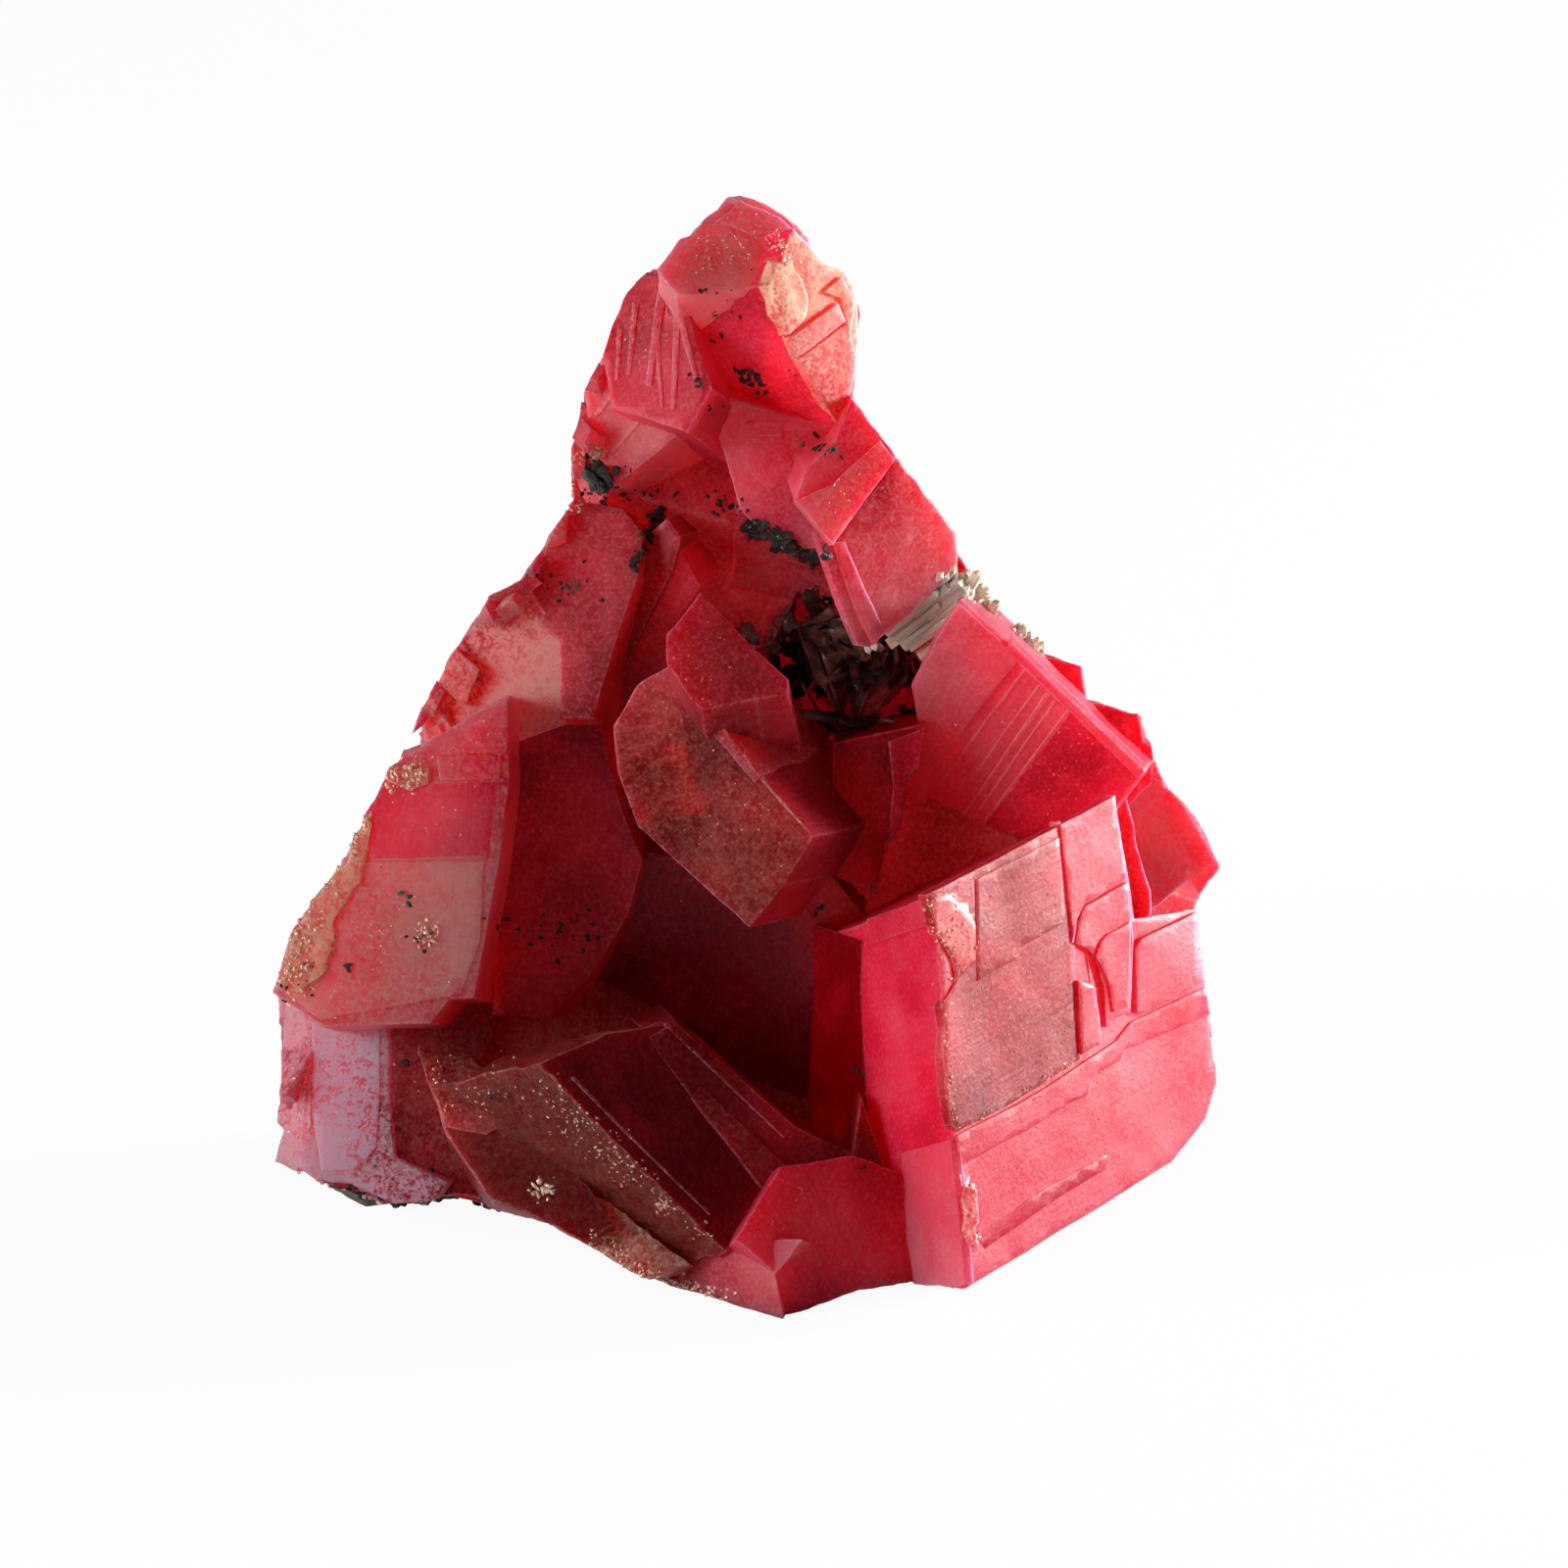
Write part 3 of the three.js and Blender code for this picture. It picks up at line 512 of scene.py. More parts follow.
        "depth": -10, "slope": (0.2, -0.2), "sweep": (2, -3, -22), "look": look(0.4, 0.7, 0.9, 0.6, 140),
        "face": [(-21.5, 19.5), (-17.5, 14.5), (-12.5, 10), (-6, 5.5), (-10.5, 4), (-16.5, 7), (-21, 9.5)],
    },
    "spur": {
        "depth": -26, "slope": (-0.2, 0.3), "sweep": (-6, 3, -18), "look": look(0.72, 0.9, 0.2, -0.3, 60),
        "face": [(38, 53), (42.5, 54.5), (45.5, 51.5), (48.5, 46), (45.5, 44.5), (42.5, 42), (38.5, 40)],
    },
    "rightPoints": {
        "depth": -21, "slope": (0.1, 0.3), "sweep": (-3, 1, -18), "look": look(0.58, 0.3, 0.2, 0, 60),
        "face": [(30, 67.5), (33.5, 67), (34.5, 66), (35, 63), (40, 61.5), (40.5, 58.5), (41.5, 58),
                 (41.5, 54.5), (37.5, 50.5), (28.5, 58.5)],
    },
}

# The outer edge of the specimen, seen square on to the display face.
outline = [
    (3.5, 0), (16.5, 3.5), (22, 3), (43.5, 15.5), (47, 20), (48, 23.5), (46, 41.5), (48.5, 46), (46, 51),
    (43, 54), (41.5, 57), (40.3, 61.3), (34.5, 63), (34, 66.3), (29.5, 67.8), (27.5, 70.3), (23.5, 74),
    (21.3, 78), (21, 80), (15, 87.5), (10.5, 93.5), (11.2, 103.5), (10, 106.5), (7.5, 108), (3.5, 112.5),
    (-1, 114.5), (-7, 109.5), (-12.5, 104.5), (-15, 98), (-17, 94.5), (-18.3, 87.5), (-18, 83.5),
    (-20.5, 79.5), (-23.5, 75), (-26.5, 73.5), (-29, 70), (-33.5, 62), (-36.5, 56), (-41.5, 46),
    (-46.5, 39.5), (-48.5, 33), (-48, 24.5), (-49, 15.5), (-44.5, 13.5), (-36.5, 11), (-30.5, 12),
    (-20.5, 9.5), (-10.5, 4), (-3.5, 1),
]
middle = (0, 46)  # of the outline
coreRings = [(-23, 0.9), (-38, 0.82), (-52, 0.62)]  # depth, and the outline's size there
coreLook = look(0.4, 0.45, 0.6, 0.2, 60)

pocket = {
    "depth": 0, "slope": (0, 0), "sweep": (1, -1, -30), "look": look(0.2, 0, 0.5),
    "face": [(1, 68), (4, 75), (12, 73.5), (17, 67), (17, 60), (11, 59), (5, 62)],
}

# Rhombohedra on the flanks, top and back: middle on the display face, turn in degrees, three edge lengths.
flankLook = look(0.5, 0.4, 0.25, 0.1)
flankCrystals = {
    "rightLow": {"at": (33, 22, -36), "turn": (20, 35, 15), "edges": (26, 24, 22)},
    "rightMid": {"at": (30, 40, -38), "turn": (-25, 20, 60), "edges": (24, 26, 20)},
    "rightHigh": {"at": (22, 58, -36), "turn": (35, -15, 20), "edges": (22, 20, 22)},
    "rightNeck": {"at": (10, 80, -28), "turn": (10, 30, -20), "edges": (18, 16, 18)},
    "leftLow": {"at": (-34, 26, -34), "turn": (-15, -25, 10), "edges": (26, 22, 22)},
    "leftMid": {"at": (-28, 42, -34), "turn": (25, -30, 35), "edges": (24, 24, 22)},
    "leftHigh": {"at": (-18, 64, -34), "turn": (-30, 15, -25), "edges": (22, 22, 20)},
    "leftNeck": {"at": (-9, 86, -26), "turn": (15, -20, 40), "edges": (18, 20, 16)},
    "topBack": {"at": (-1, 99, -22), "turn": (40, 10, 15), "edges": (16, 17, 14)},
    "backHigh": {"at": (2, 78, -38), "turn": (-20, 35, 70), "edges": (22, 20, 22)},
    "backMid": {"at": (12, 54, -46), "turn": (12, -28, 25), "edges": (28, 26, 20)},
    "backLow": {"at": (16, 30, -48), "turn": (-18, 22, -15), "edges": (30, 28, 22)},
    "backLeft": {"at": (-14, 52, -44), "turn": (28, 8, 50), "edges": (24, 26, 22)},
}
wall = {"at": (-38, 11, -33), "into": (-0.3, 0.85, -0.42)}  # the rock's flat face, and its normal into the rock


def paint(bm, faces, shown):
    for name in ("tint", "frost", "crinkle", "straw"):
        layer = bm.faces.layers.float.get(name) or bm.faces.layers.float.new(name)
        for face in faces:
            face[layer] = shown.get(name, 0)


def layGrain(bm, directions):
    # UV runs along the grain and across it, in mm
    layer = bm.loops.layers.uv.get("grain") or bm.loops.layers.uv.new("grain")
    for face in bm.faces:
        along = min(directions, key=lambda direction: abs(direction.normalized().dot(face.normal)))
        along = (along - face.normal * along.dot(face.normal)).normalized()
        across = face.normal.cross(along)
        for loop in face.loops:
            loop[layer].uv = (along.dot(loop.vert.co), across.dot(loop.vert.co))


def finish(name, bm):
    mesh = bpy.data.meshes.new(name)
    bm.to_mesh(mesh)
    bm.free()
    return bpy.data.objects.new(name, mesh)


def bevelEdges(bm, offset, wear):
    # the bevels along worn edges look paler
    result = bmesh.ops.bevel(bm, geom=bm.edges[:], offset=offset, segments=2, profile=0.5,
                             affect="EDGES", material=-1)
    layer = bm.faces.layers.float.get("frost")
    for face in result["faces"]:
        face[layer] = min(1, face[layer] + wear)


def makePrism(name, crystal, bevel=0.2, wear=0.25):
    # a flat face, and edges that run back from it along the sweep
    bm = bmesh.new()
    front = bm.faces.new([bm.verts.new((u, v, 1)) for u, v in crystal["face"]])
    back = bmesh.ops.extrude_face_region(bm, geom=[front])["geom"]
    bmesh.ops.translate(bm, verts=[g for g in back if isinstance(g, bmesh.types.BMVert)], vec=(0, 0, -1))
    du, dv, dw = crystal["sweep"]
    (u, v), (across, up) = crystal["face"][0], crystal["slope"]
    flat = crystal["depth"] - across * u - up * v
    shear = Matrix(((1, 0, -du, du), (0, 1, -dv, dv), (across, up, -dw, dw + flat), (0, 0, 0, 1)))
    bmesh.ops.transform(bm, matrix=shear, verts=bm.verts[:])
    bmesh.ops.recalc_face_normals(bm, faces=bm.faces[:])
    paint(bm, bm.faces, {**crystal["look"], **crystal.get("side", {})})
    outwards = Vector((-across, -up, 1))
    paint(bm, [max(bm.faces, key=lambda face: face.normal.dot(outwards))], crystal["look"])
    angle = math.radians(crystal["look"].get("grain", 60))
    grain = Vector((math.cos(angle), math.sin(angle), across * math.cos(angle) + up * math.sin(angle)))
    if bevel:
        bevelEdges(bm, bevel, wear)
    layGrain(bm, [grain, Vector((du, dv, dw))])
    return finish(name, bm)


rhombAngle = math.radians(102.9)  # between the edges at a rhodochrosite crystal's blunt corner


def makeRhomb(name, crystal, shown, bevel=0.3, wear=0.25):
    lean = math.asin(math.sqrt((1 - math.cos(rhombAngle)) / 1.5))  # edges from the crystal's axis
    turn = Euler([math.radians(angle) for angle in crystal["turn"]], "ZYX").to_matrix()
    edges = []
    for i, length in enumerate(crystal["edges"]):
        around = i * math.tau / 3
        edge = Vector((math.sin(lean) * math.cos(around), math.sin(lean) * math.sin(around), math.cos(lean)))
        edges.append(turn @ edge * length)
    bm = bmesh.new()
    bmesh.ops.create_cube(bm, size=1)
    place = Matrix.Translation(crystal["at"]) @ Matrix(edges).transposed().to_4x4()
    bmesh.ops.transform(bm, matrix=place, verts=bm.verts[:])
    bmesh.ops.recalc_face_normals(bm, faces=bm.faces[:])
    paint(bm, bm.faces, shown)
    bevelEdges(bm, bevel, wear)
    layGrain(bm, edges)
    return finish(name, bm)


def makeCore():
    bm = bmesh.new()
    for depth, size in coreRings:
        for u, v in outline[::3]:
            bm.verts.new((middle[0] + (u - middle[0]) * size, middle[1] + (v - middle[1]) * size, depth))
    hull = bmesh.ops.convex_hull(bm, input=bm.verts[:])
    spare = {g for g in hull["geom_interior"] + hull["geom_unused"] if isinstance(g, bmesh.types.BMVert)}
    bmesh.ops.delete(bm, geom=list(spare), context="VERTS")
    bmesh.ops.recalc_face_normals(bm, faces=bm.faces[:])
    paint(bm, bm.faces, coreLook)
    layGrain(bm, [Vector((0, 1, 0)), Vector((0, 0, 1))])
    return finish("core", bm)


def makeSlab(name, point, normal, side=400):
    # everything in front of a plane
    bm = bmesh.new()
    bmesh.ops.create_cube(bm, size=side)
    turn = Vector(normal).to_track_quat("Z", "Y").to_matrix().to_4x4()
    place = Matrix.Translation(Vector(point) + Vector(normal).normalized() * side / 2)
    bmesh.ops.transform(bm, matrix=place @ turn, verts=bm.verts[:])
    paint(bm, bm.faces, look(0.45, 0.5, 0.3))
    layGrain(bm, [Vector((1, 0, 0)), Vector((0, 1, 0))])
    return finish(name, bm)


def combine(base, others, operation):
    collection = bpy.data.collections.new("parts")
    for other in others:
        collection.objects.link(other)
    scene.collection.objects.link(base)
    step = base.modifiers.new("combine", "BOOLEAN")
    step.operation = operation
    step.solver = "MANIFOLD"
    step.operand_type = "COLLECTION"
    step.collection = collection
    step.material_mode = "TRANSFER"
    mesh = bpy.data.meshes.new_from_object(base.evaluated_get(bpy.context.evaluated_depsgraph_get()))
    bpy.data.collections.remove(collection)
    scene.collection.objects.unlink(base)
    for old in [base, *others]:
        oldMesh = old.data
        bpy.data.objects.remove(old)
        bpy.data.meshes.remove(oldMesh)
    return bpy.data.objects.new("combined", mesh)


firstCut = 0.37  # of the spacing, so that no cut runs along a straight edge


def cutGrid(bm, spacing):
    # cut every face into small pieces without bending it
    for axis in ((1, 0, 0), (0, 1, 0), (0, 0, 1)):
        along = Vector(axis)
        reach = [along.dot(vert.co) for vert in bm.verts]
        at = math.floor(min(reach) / spacing) * spacing + firstCut * spacing
        while at < max(reach):
            bmesh.ops.bisect_plane(bm, geom=bm.verts[:] + bm.edges[:] + bm.faces[:], dist=1e-5,
                                   plane_co=along * at, plane_no=along)
            at += spacing


roughness = {  # size of each wave in mm, and how far it moves the surface
    "swell": (9, 0.18), "ripple": (2.6, 0.035), "crinkle": (1.7, 0.5),
}
noise.seed_set(3)  # or else the noise follows the clock, and no two runs are the same


def roughen(bm):
    layer = bm.faces.layers.float.get("crinkle")
    for vert in bm.verts:
        amount = max([0] + [face[layer] for face in vert.link_faces])
        move = Vector()
        for name, (size, height) in roughness.items():
            move += noise.noise_vector(vert.co / size) * height * (amount if name == "crinkle" else 1)
        vert.co += move


def toWorld(bm, low, high):
    # onto the display face, standing on the floor and inside the CAD piece's box
    bmesh.ops.transform(bm, matrix=faceFrame, verts=bm.verts[:])
    for vert in bm.verts:
        vert.co = Vector([min(max(value, low[i]), high[i]) for i, value in enumerate(vert.co)])


def addPiece(name, bm, box, material, node, angle=30):
    toWorld(bm, *box)
    obj = finish(name, bm)
    mesh = obj.data
    mesh.materials.append(material)
    mesh.shade_smooth()
    mesh.set_sharp_from_angle(angle=math.radians(angle))
    scene.collection.objects.link(obj)
    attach(obj, "root")
    if node:
        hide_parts(node)
    print(name, len(mesh.polygons), "faces")
    return obj


# Thin growth plates that stand a little proud of a crystal's face, and "lift" is how far in mm.
plates = {
    "mainRhomb": {
        "mainFrosted": {"lift": 0.25, "look": look(0.34, 0.12, 0.02, 0.7), "face": [
            (18, 43), (31.6, 50), (32.5, 44), (33.2, 38.1), (33.4, 31.5), (33.9, 26.2), (30.6, 24.2),
            (27, 21.8), (21.3, 19), (20.6, 19.6), (19.9, 22.6), (19.6, 26.5), (19.8, 29.4), (19.4, 31.6),
            (20.9, 34.2), (20.6, 36.2), (19.6, 38.2), (18.6, 40.6)]},
        "mainPane": {"lift": 0.36, "look": look(0.3, 0.12, 0.02, 0.7), "face": [
            (23.2, 34.2), (27.4, 36.6), (27.5, 37.6), (32.3, 40.2), (31.6, 48.8), (23, 44.6)]},
        "mainStraw": {"lift": 0.26, "look": look(0.6, 0.35, 0.1, 1), "face": [
            (18.4, 42.4), (19.8, 42.9), (21.8, 41.8), (23.6, 39.2), (23, 36.4), (21.6, 35.2), (20.9, 36.4),
            (20.2, 37.6), (19.1, 39)]},
        "mainUpper": {"lift": 0.5, "look": look(0.56, 0.2, 0.02, 0.2), "face": [
            (31.7, 50.1), (37.4, 53.2), (38, 49), (38.6, 44.7), (34.3, 42.2), (33.5, 40.6), (33.1, 38.1),
            (32.5, 44)]},
        "mainStep": {"lift": 0.5, "look": look(0.58, 0.2, 0.02, 0.2), "face": [
            (33.3, 38), (33.7, 40.4), (34.3, 41.8), (38.7, 44.3), (39.4, 38.5), (39.1, 31), (37.6, 30.4),
            (36.6, 29.4), (36.4, 33.4), (35.4, 36.6), (34.6, 37.4)]},
        "mainStepTop": {"lift": 0.75, "look": look(0.6, 0.2, 0.02), "face": [
            (35.5, 36.6), (36, 38.1), (36.8, 39), (37.8, 39.4), (39.1, 40.2), (39.1, 36), (38.9, 31.6),
            (37.4, 31), (36.9, 34)]},
        # mainRight and mainBand: the brighter pink toward the lower right is partly colour banding and partly
        # painted light shining through
        "mainRight": {"lift": 0.6, "look": look(0.78, 0.2, 0.02), "face": [
            (39.8, 31), (39.6, 37.4), (40.2, 38.4), (45.9, 41), (46.7, 34), (43.2, 32), (41, 31)]},
        "mainInner": {"lift": 0.6, "look": look(0.5, 0.2, 0.02, 0.2), "face": [
            (33.6, 34.2), (35.3, 33.6), (35.9, 30.5), (36.1, 27.8), (34, 26.6)]},
        "mainBand": {"lift": 0.22, "look": look(0.66, 0.1, 0.02), "face": [
            (20.9, 18.5), (27, 21.4), (34, 25.7), (37.6, 28), (39.2, 30), (46.8, 33.3), (47.6, 30.6),
            (38.6, 27.1), (38.1, 26), (35.1, 24.2), (34.6, 22.4), (32.5, 21.6), (28.5, 19), (21.4, 15.6)]},
        "mainLow": {"lift": 0.06, "look": look(0.48, 0, 0.02), "face": [
            (23.4, 8), (28.5, 12), (36.6, 16.4), (36.4, 14.9), (30, 10.9), (24, 7)]},
        "mainChips": {"lift": 0.5, "look": look(0.6, 0.5, 1, 0.5), "face": [
            (21.5, 13.8), (22.8, 13.4), (23.2, 10), (23.1, 7.4), (22, 7.6), (21.7, 10)]},
    },
    "mainSide": {
        # painted light: bright pink on the lower part of the main crystal's side, a glow of light shining through
        "sideGlowing": {"lift": 0.4, "look": look(0.98, 0, 0.1), "face": [
            (15.4, 16.6), (20.3, 18.2), (20.8, 13.6), (21.8, 3.5), (17, 1.9), (16, 8)]},
        # painted shade: dark on the upper part of the main crystal's side, in the shaded centre
        "sideShaded": {"lift": 0.12, "look": look(0.2, 0, 0), "face": [
            (2, 38), (4, 40.6), (11.4, 38.4), (11.3, 33), (11.8, 24), (12.4, 15.5), (4, 13)]},
        "sideTop": {"lift": 0.35, "look": look(0.72, 0.1, 0.3), "face": [
            (12, 40.6), (17.8, 42.7), (18.2, 40), (16, 39.4), (12.4, 38)]},
    },
    "summit": {
        # the pale straw frost of these plates is partly real frosting and partly a painted highlight
        "summitRough": {"lift": 0.35, "look": look(0.7, 1.7, 0.9, 1), "face": [
            (2.6, 107.2), (4.3, 107.4), (5.4, 105.6), (6, 103.6), (5.8, 102), (4, 99.8), (2.8, 101.6),
            (1.7, 104.6)]},
        "summitStrip": {"lift": 0.55, "look": look(0.66, 1, 0, 0.6), "face": [
            (4.1, 99.5), (9, 103.3), (9.8, 101.5), (4.9, 97.6)]},
        "summitCorner": {"lift": 0.4, "look": look(0.74, 1.3, 0.1, 0.9), "face": [
            (7.6, 104.4), (9.4, 106), (10.9, 103.4), (10.2, 99.8), (9.4, 103.8)]},
        "summitLow": {"lift": 0.3, "look": look(0.6, 0.8, 0.25, 0.8), "face": [
            (5, 97.4), (9.9, 101.2), (10.9, 97.6), (10.2, 93.6), (9.4, 90.6), (8, 92.4)]},
    },
    "crown": {
        "crownStep": {"lift": 0.45, "look": look(0.9, 0.6, 0.5), "face": [
            (-0.8, 113.6), (3.2, 112), (4.6, 110.6), (0.4, 110.2), (-3.2, 111.6)]},
    },
    "shoulderBand": {
        # painted highlight: pale frost where the band catches the light
        "shoulderHighlight": {"lift": 0.3, "look": look(0.72, 0.75, 0.1), "face": [
            (4.7, 83.2), (8.4, 84.8), (13.3, 89.3), (14.8, 87.3), (8.6, 78.7)]},
    },
    "shoulder": {
        "shoulderRib": {"lift": 0.35, "look": look(0.66, 0.4, 0.1), "face": [
            (8.4, 79), (9.8, 79), (12.4, 73), (13.9, 69.8), (12.6, 68.4), (11.4, 70.6)]},
        "shoulderRibLow": {"lift": 0.2, "look": look(0.6, 0.5, 0.1), "face": [
            (6.8, 80), (8.3, 79.4), (11.4, 70.6), (12.4, 68.2), (11, 68.4), (9.4, 72.4)]},
    },
    "apron": {
        "apronStep": {"lift": 0.15, "look": look(0.8, 0.25, 0.2), "face": [
            (-0.6, 91.2), (3.4, 91.6), (3.4, 89.2), (4.6, 86.6), (2.2, 84), (-0.4, 86.4)]},
    },
    "leftBlock": {
        "leftCap": {"lift": 0.18, "look": look(0.82, 0.6, 0.15), "face": [
            (-24.7, 63), (-24.7, 57.6), (-31.8, 57.2), (-34.6, 57), (-33, 58.4), (-27.5, 61.8)]},
        "leftStreak": {"lift": 0.28, "look": look(0.78, 0.65, 0.1), "face": [
            (-25.3, 57.1), (-25.5, 54.8), (-31.6, 54.6), (-31.8, 57.1)]},
        "leftDeepBand": {"lift": 0.1, "look": look(0.7, 0.15, 0.05), "face": [
            (-25.8, 54.4), (-26.6, 47), (-38.2, 46.8), (-39, 51.4), (-37.2, 54.2)]},
        "leftDruse": {"lift": 0.5, "look": look(0.7, 1, 1, 0.8), "face": [
            (-32.6, 55.8), (-36, 56.1), (-36.6, 54.2), (-34.4, 53.6), (-32.8, 54.2)]},
        "leftFrosted": {"lift": 0.14, "look": look(0.9, 1, 0.25, 0.2), "face": [
            (-27, 46.4), (-27.6, 38), (-29.4, 33), (-43.6, 30.2), (-47.6, 33.2), (-45.6, 39.5), (-43, 43.6),
            (-38.6, 46.4)]},
        "leftRim": {"lift": 0.6, "look": look(0.7, 1.5, 1, 0.8), "face": [
            (-42.6, 45), (-41, 46.2), (-39.6, 51.4), (-38.4, 50.4), (-39.4, 44.4), (-42, 40.4), (-43.2, 35),
            (-46, 32.8), (-48, 33.4), (-46.2, 39.4)]},
    },
    "midSide": {
        "midChips": {"lift": 0.5, "look": look(0.45, 0.35, 1, 0.2), "face": [
            (-4.4, 61.8), (1.2, 55.2), (7.2, 57.6), (5, 63)]},
    },
    "upperRhomb": {
        "rhombUpper": {"lift": 0.4, "look": look(0.9, 0.3, 0.05), "face": [
            (21.4, 72.6), (27.4, 67), (19, 56.2), (17.3, 51.6), (15.6, 54.6), (17.6, 58.6), (16.8, 64.4),
            (19.2, 69.2)]},
        "rhombEdge": {"lift": 0.45, "look": look(0.8, 0.3, 0), "face": [
            (26.6, 68.7), (40.4, 55.6), (39.8, 54.8), (26, 68)]},
        "rhombLow": {"lift": 0.3, "look": look(0.58, 0.06, 0.05), "face": [
            (33, 62), (40, 55.4), (36.4, 50.2), (21, 43.2), (21.6, 47)]},
    },
    "pocketStep": {
        "pocketSide": {"lift": 0.5, "look": look(0.42, 0.05, 0), "face": [
            (14.2, 58.6), (17.9, 60), (17.2, 56), (15.8, 54.6), (15.3, 50), (14.2, 48.2), (14.6, 54)]},
    },
    "frontPlate": {
        "frontStripe": {"lift": 0.3, "look": look(0.25, 0.15, 0.2), "face": [
            (1, 13.4), (-6, 22.4), (-5, 23.6), (4, 15), (10.2, 14.2), (3.6, 12)]},
    },
    "lowLedge": {
        "ledgePale": {"lift": 0.35, "look": look(0.16, 0.3, 0.45, 0.35), "face": [
            (-34, 27), (-28.5, 26.3), (-24.6, 23), (-21.5, 23.6), (-22.6, 20.4), (-27, 18.6), (-31, 19.4)]},
    },
    "cornerLeft": {
        # painted reflection: full lilac frost paints the cool haze of light on the corner
        "cornerPlate": {"lift": 0.14, "look": look(0.9, 2.2, 0.05, -1), "face": [
            (-45, 29.8), (-38, 30.6), (-38, 22), (-38.4, 17), (-40.4, 14.6), (-44, 14.6), (-44.8, 20)]},
    },
    "spur": {
        "spurEdge": {"lift": 0.3, "look": look(0.68, 0.5, 0.2), "face": [
            (43.6, 53.4), (45.3, 51.2), (48, 46.2), (46.4, 45.6), (42.4, 51.6)]},
    },
}
plateDepth = 1.2  # mm, how far a plate goes back into its crystal
# sides of two crystals that carry plates too
sideHosts = {
    "mainSide": {"depth": 4, "slope": (1.772, 0.238), "face": [(18.5, 43)], "look": {"grain": 95}},
    "midSide": {"depth": -7, "slope": (-1.48, -1.342), "face": [(-5, 62)], "look": {"grain": 130}},
}


def makePlate(name, on, plate):
    host = {**frontCrystals, **sideHosts}[on]
    (u, v), (hostU, hostV), (across, up) = plate["face"][0], host["face"][0], host["slope"]
    outwards = Vector((-across, -up, 1)).normalized()
    depth = host["depth"] + across * (u - hostU) + up * (v - hostV) + plate["lift"] / outwards.z
    crystal = {"depth": depth, "slope": (across, up), "sweep": tuple(-outwards * plateDepth),
               "face": plate["face"], "look": {"grain": host["look"]["grain"], **plate["look"]}}
    return makePrism(name, crystal, bevel=0.07, wear=0.35)


# Raised growth ridges: crystal, then both ends on the display face, and the width in mm.
ridges = [
    ("upperRhomb", (28.3, 66.3), (19.5, 54.3), 0.35), ("upperRhomb", (30.5, 63.5), (20.8, 49.2), 0.5),
    ("upperRhomb", (31.2, 62.8), (21.4, 48.4), 0.25), ("upperRhomb", (32.9, 62.3), (21.6, 47.1), 0.3),
    ("upperRhomb", (29.6, 64.4), (22.6, 54.6), 0.25), ("upperRhomb", (35.2, 60.2), (28.4, 50.6), 0.25),
    ("summitSteps", (-9, 104.5), (-10.4, 94.8), 0.9), ("summitSteps", (-8, 105), (-5.4, 95), 0.8),
    ("summitSteps", (-7.4, 103), (-7.9, 92.4), 0.7), ("summitSteps", (-11.6, 103.4), (-12.4, 96), 0.6),
    ("summitSteps", (-9.6, 100), (-9, 92.6), 0.5), ("summitSteps", (-13.2, 101), (-13.6, 95.4), 0.5),
    ("leftShoulder", (-15.8, 92), (-11.6, 97.2), 0.5), ("leftShoulder", (-14.4, 88), (-9.4, 93.4), 0.5),
    ("apron", (-0.4, 90.9), (3.4, 91), 0.4), ("apron", (-0.6, 90), (3, 89.9), 0.35),
    ("mainRhomb", (31.6, 50.4), (34, 26.6), 0.3), ("mainRhomb", (32.4, 50.6), (35, 34), 0.25),
    ("mainRhomb", (22.6, 13.8), (22.8, 7.4), 0.5), 
    ("midRhomb", (-4.4, 61.2), (5.8, 49.6), 0.3),
    ("frontPlate", (-8.5, 29.8), (3.5, 18.3), 0.3), ("frontPlate", (-4.5, 21.3), (1, 16.8), 0.3),
    ("frontRhomb", (-18, 24.6), (-4, 10.4), 0.35), ("leftBlock", (-38, 46.6), (-26.8, 46.9), 0.25),
    ("leftBlock", (-31, 44), (-30.4, 34), 0.25), ("leftBlock", (-34, 44), (-33.6, 35), 0.25),
    ("leftBlock", (-37.4, 44), (-37, 34.4), 0.25), ("shoulderBand", (6.2, 82.4), (13.8, 88), 0.3),
]


ridgeLook = {"frost": 0.35, "tint": 0.08, "taper": 0.6, "lift": 0.08, "height": 0.2}  # frost and tint are added


def makeRidge(name, ridge):
    host, (u, v), (toU, toV), width = ridge
    aside = Vector((v - toV, toU - u)).normalized() * width / 2
    endU, endV = aside.x * ridgeLook["taper"], aside.y * ridgeLook["taper"]
    corners = [(u + aside.x, v + aside.y), (u - aside.x, v - aside.y), (toU - endU, toV - endV),
               (toU + endU, toV + endV)]
    shown = {**frontCrystals[host]["look"], "crinkle": 0}
    shown["frost"] = min(1, shown["frost"] + ridgeLook["frost"])
    shown["tint"] = min(1, shown["tint"] + ridgeLook["tint"])
    lift = ridgeLook["lift"] + width * ridgeLook["height"]
    return makePlate(name, host, {"lift": lift, "face": corners, "look": shown})


